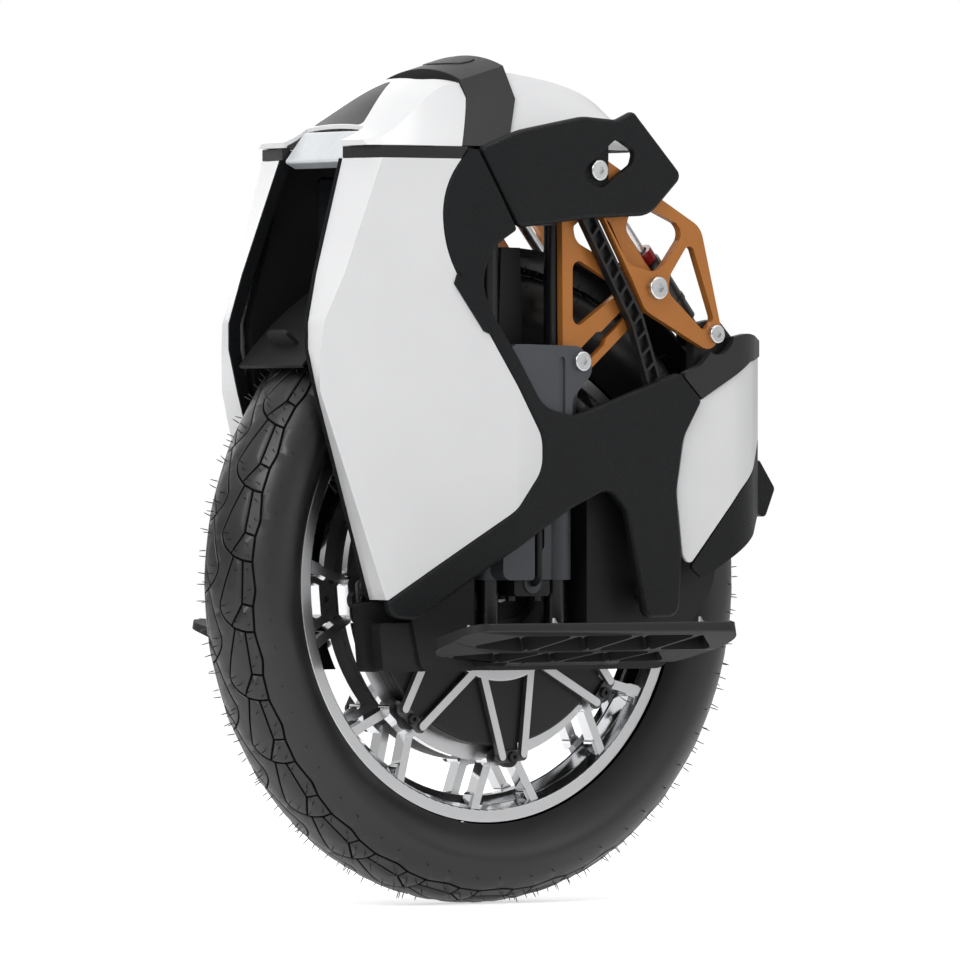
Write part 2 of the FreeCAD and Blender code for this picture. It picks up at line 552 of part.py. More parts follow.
# Folding pedals with truss pockets underneath and grip studs on top
def make_pedals():
    inner = PEDAL_INNER
    plan = [(PEDAL_FRONT - 4, inner, 16), (PEDAL_FRONT, PEDAL_WIDTH, 16), (PEDAL_REAR, PEDAL_WIDTH, 16),
            (PEDAL_REAR + 29, inner, 16)]
    depth = [(inner, PEDAL_TOP, 1.5), (inner, -11, 3), (PEDAL_WIDTH * 0.6, -8, 20), (PEDAL_WIDTH, -1, 3),
             (PEDAL_WIDTH, PEDAL_TOP, 2)]
    body = slab(plan, -20, 20).common(rib_profile(depth, PEDAL_REAR - 5, PEDAL_FRONT + 5))
    pockets = []
    deck = PEDAL_TOP - 3.5
    rib = 3.6
    middle = (inner + PEDAL_WIDTH) / 2
    rows = ((inner + 6, middle - rib / 2, PEDAL_REAR + 42),
            (middle + rib / 2, PEDAL_WIDTH - 5, PEDAL_REAR + 18))
    bays = 4
    for near, far, tail in rows:
        pitch = (PEDAL_FRONT - 12 - tail) / bays
        span = pitch - rib
        for index in range(bays):
            x = tail + pitch * index
            pockets.append([(x, near, 3), (x + span, near, 3), (x + span / 2, far, 3)])
            if index < bays - 1:
                x += (pitch + rib) / 2
                pockets.append([(x, far, 3), (x + span, far, 3), (x + span / 2, near, 3)])
    body = body.cut(Part.makeCompound([slab(corners, -25, deck) for corners in pockets]))
    knuckle = Part.makeCylinder(9, 79, Vector(-39.5, 0, 0), Vector(1, 0, 0))
    neck = brick(-39.5, 39.5, 0, inner + 6, -8.5, PEDAL_TOP - 1)
    bore = Part.makeCylinder(PEDAL_SHAFT_RADIUS + RUNNING_FIT, 100, Vector(-50, 0, 0), Vector(1, 0, 0))
    pedal = body.multiFuse([knuckle, neck]).cut(bore).removeSplitter()
    studs = []
    for y, places in ((inner + 10, (-1, 1)), (middle + 2, (0, 1.9)), (PEDAL_WIDTH - 8, (-1, 1))):
        for place in places:
            x = STUD_CENTRE + STUD_PITCH * place
            base = Part.makeCylinder(3.2, 1.2, Vector(x, y, PEDAL_TOP + SEAT_GAP / 2))
            studs.append(base.fuse(Part.makeCone(2.4, 1.2, 4, Vector(x, y, PEDAL_TOP + 1))))
    for name, shapes in (("pedal", [pedal]), ("pedal_studs", studs)):
        placed = []
        for shape in shapes:
            shape = shape.copy()
            shape.rotate(Vector(0, 0, 0), Vector(1, 0, 0), PEDAL_TILT)
            shape.translate(Vector(0, PEDAL_HINGE_Y, PEDAL_HINGE_Z))
            placed.append(shape)
        keep("left_" + name, *placed)
        keep("right_" + name, *[mirrored(shape) for shape in placed])


# The flank: stations (height, front edge x, y, ridge x, y) that the shell, frame and wing share
STATIONS = [(BELT_BOTTOM - 0.3, 152, 36, 143, 72), (228, 182, 43, 173, 65), (192, 192, 46, 189, 61),
            (173, 192, 46, 191, 59.5), (142, 184, 46, 191, 59), (-12, 136, 48, 141, 74)]
SHELL_LIP = 8.0
SHELL_SIDE = PANEL_OUTER - 1
FLAT_FROM = 30.0


def flank(height):
    # The outer layer at a station's ridge, interpolated between stations.
    for upper, lower in zip(STATIONS, STATIONS[1:]):
        if upper[0] >= height >= lower[0]:
            share = (upper[0] - height) / (upper[0] - lower[0])
            return [upper[k] + (lower[k] - upper[k]) * share for k in (3, 4)]
    return STATIONS[0][3:5] if height > STATIONS[0][0] else STATIONS[-1][3:5]


def flank_y(x, height):
    ridge_x, ridge_y = flank(height)
    if x <= FLAT_FROM:
        return PANEL_OUTER
    return PANEL_OUTER - (PANEL_OUTER - ridge_y - 1) * (x - FLAT_FROM) / (ridge_x - FLAT_FROM)


def flank_slab():
    wires = []
    thickness = PANEL_OUTER - PANEL_INNER
    heights = [360] + [station[0] for station in STATIONS] + [-40]
    for height in heights:
        ridge_x, ridge_y = flank(height)
        far = ridge_x + 12
        outer = [(far, flank_y(far, height)), (FLAT_FROM, PANEL_OUTER), (-165, PANEL_OUTER)]
        inner = [(x, y - thickness) for x, y in reversed(outer)]
        points = [Vector(x, y, height) for x, y in outer + inner]
        wires.append(Part.makePolygon(points + points[:1]))
    return Part.makeLoft(wires, True, True)


# The black side frame: a strip round the link window that widens into a crossed lower frame
FRONT_SEAM = [(71, 321, 2), (93, 291, 60), (90, 245, 88), (24, 137, 30), (6, 108, 26), (6, 84, 26),
              (30, 54, 40), (140, -13, 4)]
FRAME_REST = [(136, -25, 10), (115, -27, 20), (54, 11, 40), (-20, 54, 40), (-58, 70, 13), (-75, 52, 14),
              (-84, 12, 30), (-93, -27, 9), (-126, -26, 10), (-129, 20, 40), (-124, 68, 40), (-131, 108, 30),
              (-149, 136, 5), (-127, 157, 7), (-78, 141, 40), (-26, 124, 26), (4, 130, 26), (48, 196, 40),
              (61, 222, 36), (49, 249, 34), (29.6, 261.6, 3)]
SEAM_TOP = (63.8, 320.6)


def make_frames():
    panel = plate([(SEAM_TOP[0], SEAM_TOP[1], 1)] + FRONT_SEAM + FRAME_REST, 50, 120).common(flank_slab())
    pads = [pin(x, z, 7, HOUSING_OUTER + SEAT_GAP, flank_y(x, z) - 4)
            for x, z in ((78, 284), (74, 240), (96, -2), (-106, -8), (-112, 120))]
    keep_pair("frame", panel.multiFuse(pads).removeSplitter())


# Wings with an open slot beside the upper link bolt
def make_wings():
    wing = plate([(61, 322, 4), (28, 335.5, 60), (-34, 347, 40), (-66, 345, 12), (-82, 352, 5),
                  (-130, 304, 7), (-98, 274, 26), (-40, 271, 60), (27.6, 263, 6)], 50, 120)
    wing = wing.common(flank_slab())
    slot = [(-26.5, 303, 7), (-65, 331.2, 6), (-83, 322, 6), (-80, 312, 6), (-50, 293, 10)]
    floor = PANEL_INNER + 2
    wing = wing.cut(plate(slot, floor, PANEL_OUTER + 1))
    open_end = plate(slot, PANEL_INNER - 1, floor + 1).common(brick(-100, -60, 80, 100, 280, 340))
    wing = wing.cut(open_end)
    wing = wing.cut(pin(BRACKET_TOP_PIVOT[0], BRACKET_TOP_PIVOT[1], LINK_SHANK_RADIUS + SEAT_GAP, 80, 95))
    keep_pair("wing", wing.removeSplitter())


# White front shells: a thin skin through the stations, with a lip along the front opening
def skin_section(height, front_x, front_y, ridge_x, ridge_y):
    corners = [(front_x - SHELL_LIP, front_y), (front_x, front_y), (ridge_x, ridge_y),
               (FLAT_FROM, SHELL_SIDE), (-20, SHELL_SIDE), (-20, SHELL_SIDE - SKIN),
               (FLAT_FROM, SHELL_SIDE - SKIN),
               (ridge_x - SKIN, ridge_y - SKIN), (front_x - SKIN, front_y + SKIN),
               (front_x - SHELL_LIP, front_y + SKIN)]
    points = [Vector(x, y, height) for x, y in corners]
    return Part.makePolygon(points + points[:1])


def make_shells():
    skin = Part.makeLoft([skin_section(*station) for station in STATIONS], True, True)
    gap = 0.5
    top_x = FRONT_SEAM[0][0] + gap
    behind = [(top_x, 340, 0), (top_x, FRONT_SEAM[0][1], 0)]
    behind += [(x + gap, z, r) for x, z, r in FRONT_SEAM[1:]]
    behind += [(FRONT_SEAM[-1][0] + gap, -90, 0), (-60, -90, 0), (-60, 340, 0)]
    seam = plate(behind, 60, 110)
    keep_pair("front_shell", skin.cut(seam))
    belt = Part.Face(skin_section(BELT_BOTTOM, *STATIONS[0][1:]))
    strip = belt.extrude(Vector(0, 0, BELT_TOP - BELT_BOTTOM))
    strip = strip.cut(seam)
    keep("belt_strips", strip, mirrored(strip))


def hood(sections, bottom, inset):
    wires = []
    for x, foot, shoulder, height, rise in sections:
        foot -= inset
        shoulder -= inset
        height -= inset
        left_foot = Vector(x, foot, bottom)
        left_top = Vector(x, shoulder, height)
        right_top = Vector(x, -shoulder, height)
        right_foot = Vector(x, -foot, bottom)
        crest = Part.Arc(left_top, Vector(x, 0, height + rise), right_top).toShape()
        wires.append(Part.Wire([Part.makeLine(left_foot, left_top), crest,
                                Part.makeLine(right_top, right_foot), Part.makeLine(right_foot, left_foot)]))
    return Part.makeLoft(wires, True, False)


def raised(shape, height):
    copy = shape.copy()
    copy.translate(Vector(0, 0, height))
    return copy


def leaned(shape):
    # The lower part of the saddle and of what it fits between leans forward.
    rate = LEG_LEAN / (LEG_BEND - COWL_BOTTOM)
    shear = FreeCAD.Matrix(1, 0, -rate, rate * LEG_BEND, 0, 1, 0, 0, 0, 0, 1, 0, 0, 0, 0, 1)
    reach = 200
    upper = shape.common(brick(-reach, reach, -reach, reach, LEG_BEND, LEG_BEND + reach))
    lower = shape.common(brick(-reach, reach, -reach, reach, LEG_BEND - reach, LEG_BEND))
    return upper.fuse(lower.transformGeometry(shear)).removeSplitter()


# Front cowl with its dark wedge-shaped visor, headlight and rear cowl
def make_cowls():
    base = COWL_BOTTOM
    gap = leaned(brick(HANDLE_REAR - 0.4, HANDLE_FRONT + 0.4, -100, 100, base - 10, base + 90))
    front = [(HANDLE_FRONT + 0.4, 81.8, 47, base + 48, 6), (97, 79.5, 58, base + 31, 9),
             (LAMP_X - 2, 75, 63, base + 11, 7), (152, 66, 60, base + 3.5, 1)]
    outer = hood(front, base, 0)
    hollow = [(HANDLE_FRONT - 2,) + front[0][1:]] + front[1:3] + [(149, 67, 61, base + 4, 1)]
    inner = hood(hollow, base - 1, SKIN)
    leaf_rear = (HANDLE_FRONT + 25, 0, 4)
    leaf = slab([leaf_rear, (LAMP_X - 1, -30, 3), (LAMP_X - 1, 30, 3)], base - 10, base + 90)
    visor = leaf.common(outer).cut(raised(outer, -1.6))
    notch_front = HANDLE_FRONT + FINGER_ROOM
    notch = slab([(HANDLE_FRONT - 5, -46, 0), (HANDLE_FRONT - 5, 46, 0), (notch_front, 26, 14),
                  (notch_front, -26, 14)], base + 18, base + 90)
    pocket = leaf.common(outer).cut(raised(outer, -1.7))
    bay = LAMP_HALF + SEAT_GAP
    opening = brick(LAMP_X - SEAT_GAP, LAMP_X + 40, -bay, bay, base - 10, base + 60)
    keep("front_cowl", outer.cut(inner).cut(notch).cut(pocket).cut(opening).cut(gap))
    keep("visor", visor)

    lamp = plate([(LAMP_X, base + 15, 2), (LAMP_X + 22, base - 11, 2), (LAMP_X + 11, base - 16, 2),
                  (LAMP_X, base - 8, 2)], -LAMP_HALF, LAMP_HALF)
    keep("headlight", lamp)

    rear_start = HANDLE_REAR + LEG_LEAN + 4
    rear = [(rear_start, 85, 47, base + 62, 6), (-62, 85, 42, base + 46, 5), (-104, 82, 34, base + 26, 4),
            (-124, 74, 28, base + 6, 2)]
    outer = hood(rear, base, 0)
    hollow = [(rear_start + 2,) + rear[0][1:]] + rear[1:3] + [(-121, 75, 29, base + 9, 2)]
    keep("rear_cowl", outer.cut(hood(hollow, base - 1, SKIN)).cut(gap))


# Lift handle: an arched saddle with finger room under it, and a half-moon button on top
def make_handle():
    def arch(x, spread, crease, top):
        foot = COWL_BOTTOM + 0.4
        inset = spread - 9
        outer = [Vector(x, spread, foot), Vector(x, 48, crease), Vector(x, 0, top), Vector(x, -48, crease),
                 Vector(x, -spread, foot)]
        inner = [Vector(x, -inset, foot), Vector(x, -42, crease - 15), Vector(x, 0, top - 16),
                 Vector(x, 42, crease - 15), Vector(x, inset, foot)]
        edges = []
        for ring in (outer, inner):
            edges += [Part.makeLine(ring[0], ring[1]), Part.Arc(*ring[1:4]).toShape(),
                      Part.makeLine(ring[3], ring[4])]
        edges.insert(3, Part.makeLine(outer[4], inner[0]))
        edges.append(Part.makeLine(inner[4], outer[0]))
        return Part.Wire(edges)

    base = COWL_BOTTOM
    front = (HANDLE_FRONT, 78.5, base + 50.7, base + 60.2)
    rear = (HANDLE_REAR, 84, base + 62.2, base + 71.2)
    saddle = leaned(Part.makeLoft([arch(*front), arch(*rear)], True, True))
    half_moon = [(15, -25, 5), (15, 25, 5), (30, 25, 10), (40, 0, 30), (30, -25, 10)]
    clear = slab(half_moon, base + 27, base + 97)
    inset = [(x + (0.4 if x < 20 else -0.4), y * 0.984, r) for x, y, r in half_moon]
    pocket = clear.common(saddle).cut(raised(saddle, -6))
    button = slab(inset, base + 27, base + 97).common(raised(saddle, 0.8)).cut(raised(saddle, -3.2))
    keep("handle", saddle.cut(pocket))
    keep("handle_button", button)


# Controller box on the crown's deck
def make_controller():
    base = DECK_TOP + SEAT_GAP
    box = slab([(-84, -34, 4), (-16, -34, 4), (-16, 34, 4), (-84, 34, 4)], base, base + 7)
    fins = [brick(-80, -20, y - 1.2, y + 1.2, base + 6, base + 12) for y in range(-28, 29, 8)]
    keep("controller", box.multiFuse(fins).removeSplitter())


# Tail: a curved wall behind the wheel, cut into white panels, a dark rim and a black guard
TAIL_SIDE = 88.0
TAIL_GAP = 10.0
TAIL_REAR = -TYRE_RADIUS - TAIL_GAP
TAIL_PAST = TAIL_REAR - 12
TAIL_FRONT = -118.0
RIM_LINE = [(-149, 137), (-203, 166), (TAIL_PAST, 172)]


def tail_wall(outward, thickness):
    def plan(shift, front):
        side = TAIL_SIDE + shift
        rear = TAIL_REAR - shift
        half = [(front, side, 0), (-200, side, 50), (rear, 38, 32)]
        return half + [(x, -y, r) for x, y, r in reversed(half)]
    outer = slab(plan(outward, TAIL_FRONT), -20, 230)
    return outer.cut(slab(plan(outward - thickness, TAIL_FRONT + 20), -30, 240))


def make_tail():
    wall = tail_wall(0, SKIN)
    white = [(-149, 136, 3), (-133, 108, 30), (-126, 68, 40), (-132, 20, 8), (-139, 12, 5), (-190, 69, 60),
             (TAIL_PAST, 122, 0)]
    white += [(x, z - 0.4, 0) for x, z in reversed(RIM_LINE[1:])]
    panel = wall.common(plate(white, 22, 100))
    keep("tail_panels", panel, mirrored(panel))

    rim_band = [(-131, 155.5, 3), (-150, 137.3, 4), (-203, 166, 0), (TAIL_PAST, 172, 0), (TAIL_PAST, 180, 0),
                (-198, 187, 30), (-168, 182, 12), (-150, 163, 8)]
    x, z = BRACKET_REAR_PIVOT
    rim = tail_wall(1.5, 7).common(plate(rim_band, -110, 110))
    notch = pin(x, z, 15.5, LINK_INNER - 1, 100)
    rim = rim.cut(notch).cut(mirrored(notch))
    cheek = plate([(-136, 104, 6), (-164, 104, 6), (-200, 150, 8), (-200, 172, 6), (x - 8, z + 12, 11),
                   (x + 14, z + 8, 8), (-150, 150, 10)], HOUSING_OUTER + SEAT_GAP, LINK_INNER - 0.4)
    web = brick(-198, -182, LINK_INNER - 2, TAIL_SIDE - 2, 165, 172)
    cheek = cheek.fuse(web).cut(pin(x, z, LINK_SHANK_RADIUS + SEAT_GAP, 40, 100))
    keep("tail_tub", rim.multiFuse([cheek, mirrored(cheek)]).removeSplitter())

    band = [(-140, 11, 3), (-190, 68, 60), (TAIL_PAST, 121, 0), (TAIL_PAST, 62, 0), (-206, 32, 30),
            (-152, 2, 6)]
    lower = wall.common(plate(band, -110, 110))
    spine = plate([(TAIL_REAR + 10, 100, 0), (TAIL_REAR + 10, 169, 0), (TAIL_PAST, 171.6, 0),
                   (TAIL_PAST, 100, 0)], -21.6, 21.6)
    spine = spine.common(wall)
    root = TAIL_REAR + 2.8
    flap = plate([(root, 92, 2), (root - 7, 91, 3), (root - 22, 70, 4), (root - 12, 47, 4), (root, 53, 2)],
                 -34, 34)
    guard = lower.multiFuse([spine, flap]).removeSplitter()
    out = TAIL_REAR - 2
    back = TAIL_REAR + 1.5
    lens = slab([(out, -18, 2), (out, 18, 2), (back, 18, 0), (back, -18, 0)], 140, 154)
    seat = brick(out - 2, back + SEAT_GAP, -18 - SEAT_GAP, 18 + SEAT_GAP, 140 - SEAT_GAP, 154 + SEAT_GAP)
    keep("tail_guard", guard.cut(seat))
    keep("tail_light", lens)


# Fixed link brackets, ladder struts and the link bolts
def make_brackets():
    ax, az = BRACKET_TOP_PIVOT
    cx, cz = ROCKER_PIVOT
    dx, dz = BRACKET_REAR_PIVOT
    outline = [(ax + 14, az + 1, 9), (ax + 4, az + 16, 9), (-152, 266, 18), (dx - 7, dz + 1, 10),
               (dx + 4, dz - 14, 11), (cx + 10, cz - 17, 14), (cx + 24, cz + 8, 12)]
    body = plate(outline, LINK_INNER, LINK_OUTER)
    windows = [[(-70, 292, 5), (-57, 274, 8), (-82, 237, 14), (-111, 231, 14), (-135, 261, 9),
                (-128, 269, 6)],
               [(-142, 257, 5), (-165, 197, 6), (-156, 187, 6), (-120, 217, 9), (-122, 230, 9)]]
    holes = [plate(window, LINK_INNER - 1, LINK_OUTER + 1) for window in windows]
    for x, z in (BRACKET_TOP_PIVOT, ROCKER_PIVOT, BRACKET_REAR_PIVOT):
        holes.append(pin(x, z, LINK_SHANK_RADIUS + SEAT_GAP, LINK_INNER - 1, LINK_OUTER + 1))
    bracket = body.cut(Part.makeCompound(holes))
    keep("brackets", bracket, mirrored(bracket))

    # Ladder strut from the wing down to the frame
    top, knee, foot = (-43, 272), (-90, 196), (-107, 149)
    half = 6.5
    pocket = 4.2
    rung = 2.4
    skew = 1.6
    strut = capsule(top, knee, half, LINK_INNER, LINK_OUTER)
    strut = strut.fuse(capsule(knee, foot, half, LINK_INNER, LINK_OUTER))
    for start, end, bays in ((top, knee, 7), (knee, foot, 4)):
        length = math.hypot(end[0] - start[0], end[1] - start[1])
        ux = (end[0] - start[0]) / length
        uz = (end[1] - start[1]) / length
        for index in range(bays):
            corners = []
            for share, side in ((0, -1), (1, -1), (1, 1), (0, 1)):
                reach = (index + share) * length / bays + rung * (0.5 - share) + skew * side
                corners.append((start[0] + ux * reach - uz * side * pocket,
                                start[1] + uz * reach + ux * side * pocket, 0.8))
            strut = strut.cut(plate(corners, LINK_OUTER - 4.4, LINK_OUTER + 1))
    strut = strut.removeSplitter()
    keep("struts", strut, mirrored(strut))

    upper = socket_bolt(ax, az, 7.8, LINK_SHANK_RADIUS, LINK_INNER, PANEL_INNER + 2 + SEAT_GAP, 4)
    pivot = socket_bolt(cx, cz, 8.6, LINK_SHANK_RADIUS, 65, LINK_OUTER + SEAT_GAP, 5)
    pivot = pivot.fuse(plate(hexagon(cx, cz, 8), 66, ROCKER_INNER - 0.3)).removeSplitter()
    rear = socket_bolt(dx, dz, 7.0, LINK_SHANK_RADIUS, 49, LINK_OUTER + SEAT_GAP, 4)
    bolts = [upper, pivot, rear]
    keep("link_bolts", *(bolts + [mirrored(bolt) for bolt in bolts]))


# Rockers: a triangulated lever whose long slot follows the slider's ear bolt
def make_rockers():
    cx, cz = ROCKER_PIVOT
    ex, ez = EAR_PIVOT
    sx, sz = SHOCK_TOP_PIVOT
    bearing = math.degrees(math.atan2(ez - cz, ex - cx)) - SLOT_LAG

    def on_arm(distance):
        x, z = polar(distance, bearing)
        return cx + x, cz + z

    arm_end = on_arm(math.hypot(ex - cx, ez - cz) + 2)
    arm = capsule(ROCKER_PIVOT, arm_end, ROCKER_SLOT / 2 + 5.5, ROCKER_INNER, ROCKER_OUTER)
    fan = plate([(-25, 164, 6), (-24, 279, 10), (sx + 4, sz + 12, 9), (sx - 12, sz - 1, 9), (-85, 264, 10),
                 (-105, 239, 8), (cx - 14, cz + 2, 11), (cx + 4, cz - 14, 10)], ROCKER_INNER, ROCKER_OUTER)
    windows = [[(-34.5, 268, 5), (-37, 254, 12), (-93, 229, 6), (-69, 271, 6)],
               [(-34.5, 243, 6), (-34.5, 187, 6), (-84, 219, 6)]]
    holes = [plate(window, 60, 90) for window in windows]
    holes.append(capsule(on_arm(62), arm_end, ROCKER_SLOT / 2, 60, 90))
    holes.append(capsule(on_arm(24), on_arm(62), 3.4, 60, 90))
    holes.append(pin(cx, cz, LINK_SHANK_RADIUS + RUNNING_FIT, 60, 90))
    rocker = arm.fuse(fan).cut(Part.makeCompound(holes))
    stub = pin(sx, sz, SHOCK_PIN_RADIUS, 49.5, ROCKER_INNER + 1)
    keep_pair("rocker", rocker.fuse(stub).removeSplitter())


# Shocks: a body hinged at the tail, a shaft hinged on the rocker, and a red rebound dial
def make_shocks():
    start = Vector(BRACKET_REAR_PIVOT[0], SHOCK_Y, BRACKET_REAR_PIVOT[1])
    end = Vector(SHOCK_TOP_PIVOT[0], SHOCK_Y, SHOCK_TOP_PIVOT[1])
    length = (end - start).Length
    axis = (end - start).normalize()

    def rod(radius, near, far):
        return Part.makeCylinder(radius, far - near, start + axis * near, axis)

    def eye(point, hole):
        ring = pin(point[0], point[1], 9.4, SHOCK_Y - 7, SHOCK_Y + 7)
        return ring, pin(point[0], point[1], hole + RUNNING_FIT, SHOCK_Y - 20, SHOCK_Y + 20)

    ring, hole = eye(BRACKET_REAR_PIVOT, LINK_SHANK_RADIUS)
    body = ring.multiFuse([rod(8, 0, 20), rod(SHOCK_RADIUS, 14, SHOCK_BODY), rod(SHOCK_RADIUS + 0.8, 30, 34),
                           rod(SHOCK_RADIUS + 0.8, 52, 56)])
    body = body.cut(hole).cut(rod(SHAFT_RADIUS + 1.4, 20, SHOCK_BODY + 5))
    keep_pair("shock_body", body.removeSplitter())

    dial = rod(SHOCK_RADIUS - 1.4, SHOCK_BODY + 0.3, SHOCK_BODY + 10)
    dial = dial.cut(rod(SHAFT_RADIUS + 1.4, SHOCK_BODY, SHOCK_BODY + 20))
    grooves = []
    for index in range(12):
        groove = Part.makeCylinder(1, 20, start + axis * SHOCK_BODY + Vector(0, SHOCK_RADIUS - 1, 0), axis)
        groove.rotate(start, axis, 30 * index)
        grooves.append(groove)
    keep_pair("shock_dial", dial.cut(Part.makeCompound(grooves)))

    ring, hole = eye(SHOCK_TOP_PIVOT, SHOCK_PIN_RADIUS)
    shaft = ring.fuse(rod(SHAFT_RADIUS, SHOCK_BODY - 8, length - 5)).cut(hole).removeSplitter()
    keep_pair("shock_shaft", shaft)


make_tyre()
make_rim()
make_motor()
make_axle()
make_sliders()
make_mudguard()
make_cable()
make_housings()
make_spine()
make_pedals()
make_frames()
make_wings()
make_shells()
make_cowls()
make_handle()
make_controller()
make_tail()
make_brackets()
make_rockers()
make_shocks()

# The lugs stand a little behind the lowest point, as the wheel came to rest
for name in ("rim", "motor_covers", "spiders", "wheel_bolts", "tyre_valve"):
    nodes[name] = around(nodes[name], WHEEL_PHASE)

for name, shape in nodes.items():
    lifted = shape.copy()
    lifted.translate(Vector(0, 0, TYRE_RADIUS))
    lifted.exportStep("parts/" + name + ".step")
    print(name, len(lifted.Solids), "solids, valid", lifted.isValid())
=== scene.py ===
import json
import math
import random

import bmesh
import bpy
import numpy as np
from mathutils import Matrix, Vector
from mathutils.geometry import delaunay_2d_cdt


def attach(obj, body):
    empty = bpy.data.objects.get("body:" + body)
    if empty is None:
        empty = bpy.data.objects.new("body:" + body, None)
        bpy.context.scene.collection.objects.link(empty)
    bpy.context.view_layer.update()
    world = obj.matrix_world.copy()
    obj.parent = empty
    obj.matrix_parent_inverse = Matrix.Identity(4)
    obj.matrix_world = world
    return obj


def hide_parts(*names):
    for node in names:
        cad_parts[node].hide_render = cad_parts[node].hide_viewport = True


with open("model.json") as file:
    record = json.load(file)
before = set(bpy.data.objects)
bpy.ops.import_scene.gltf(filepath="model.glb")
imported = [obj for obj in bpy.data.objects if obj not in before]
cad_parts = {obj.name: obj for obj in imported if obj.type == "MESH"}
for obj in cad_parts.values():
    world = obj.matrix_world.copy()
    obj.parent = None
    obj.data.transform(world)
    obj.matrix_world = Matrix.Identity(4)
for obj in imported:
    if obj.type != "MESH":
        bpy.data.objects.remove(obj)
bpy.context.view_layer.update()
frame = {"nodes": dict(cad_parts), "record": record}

nodes = frame["nodes"]
slotOf = {part["node"]: part["material_slot"] for part in frame["record"]["subparts"]}
bodyOf = {node: body for body, names in frame["record"]["behaviour"]["bodies"].items() for node in names}
tyreRadius = 240                 # millimetres, as are the sizes in the tables below
axleHeight = tyreRadius / 1000   # metres over the floor
print("frame loaded:", len(nodes), "nodes")


# shader sockets that take part in plain sums
class Flow:
    def __init__(self, tree, socket=None):
        self.tree = tree
        self.socket = socket

    def node(self, kind, settings=None, values=None, out=0):
        made = self.tree.nodes.new(kind)
        for key, value in (settings or {}).items():
            setattr(made, key, value)
        for key, value in (values or {}).items():
            if isinstance(value, Flow):
                self.tree.links.new(value.socket, made.inputs[key])
            else:
                made.inputs[key].default_value = value
        return Flow(self.tree, made.outputs[out] if made.outputs else None)

    def math(self, operation, first, second=0.0):
        return self.node("ShaderNodeMath", {"operation": operation}, {0: first, 1: second})

    def __add__(self, other):
        return self.math("ADD", self, other)

    def __radd__(self, other):
        return self.math("ADD", other, self)

    def __sub__(self, other):
        return self.math("SUBTRACT", self, other)

    def __rsub__(self, other):
        return self.math("SUBTRACT", other, self)

    def __mul__(self, other):
        return self.math("MULTIPLY", self, other)

    def __rmul__(self, other):
        return self.math("MULTIPLY", other, self)

    def __truediv__(self, other):
        return self.math("DIVIDE", self, other)

    def __rtruediv__(self, other):
        return self.math("DIVIDE", other, self)

    def __pow__(self, other):
        return self.math("POWER", self, other)

    def __abs__(self):
        return self.math("ABSOLUTE", self)

    def ease(self, low, high):
        return self.node("ShaderNodeMapRange", {"interpolation_type": "SMOOTHSTEP"},
                         {0: self, 1: low, 2: high})

    def blend(self, first, second):
        return self.node("ShaderNodeMix", {"data_type": "RGBA"}, {0: self, 6: first, 7: second}, 2)


def rgb(red, green, blue):
    return (red, green, blue, 1.0)


def grey(level):
    return rgb(level, level, level)


# what every finish can read: place on the part, grain, speckle, turning marks and face direction
class Bench(Flow):
    def __init__(self, tree):
        super().__init__(tree)
        self.place = self.node("ShaderNodeTexCoord", out=3)
        self.facing = self.node("ShaderNodeTexCoord", out=1)

    def noise(self, scale, detail=3.0, rough=0.5, stretch=None):
        place = self.place
        if stretch:
            place = self.node("ShaderNodeVectorMath", {"operation": "MULTIPLY"}, {0: place, 1: stretch})
        return self.node("ShaderNodeTexNoise", values={"Vector": place, "Scale": scale, "Detail": detail,
                                                       "Roughness": rough})

    def cells(self, scale):
        return self.node("ShaderNodeTexVoronoi", values={"Vector": self.place, "Scale": scale})

    def axis(self, name):
        return self.node("ShaderNodeSeparateXYZ", values={0: self.place}, out="XYZ".index(name))

    def faceAxis(self, name):
        return self.node("ShaderNodeSeparateXYZ", values={0: self.facing}, out="XYZ".index(name))

    def radius(self):
        forward = self.axis("X")
        upward = self.axis("Z") - axleHeight
        return (forward * forward + upward * upward) ** 0.5

    def rings(self, pitch):
        place = self.node("ShaderNodeCombineXYZ",
                          values={0: self.radius() / pitch, 1: self.axis("Y") / pitch})
        return self.node("ShaderNodeTexNoise", values={"Vector": place, "Scale": 1.0, "Detail": 2.0})

    def bump(self, height, strength, distance):
        return self.node("ShaderNodeBump",
                         values={"Height": height, "Strength": strength, "Distance": distance})


def newFinish(name, recipe):
    material = bpy.data.materials.new(name)
    material.use_nodes = True
    tree = material.node_tree
    tree.nodes.clear()
    bench = Bench(tree)
    sockets, fixed = recipe(bench)
    shader = bench.node("ShaderNodeBsdfPrincipled", values={**fixed, **sockets})
    bench.node("ShaderNodeOutputMaterial", values={"Surface": shader})
    return material


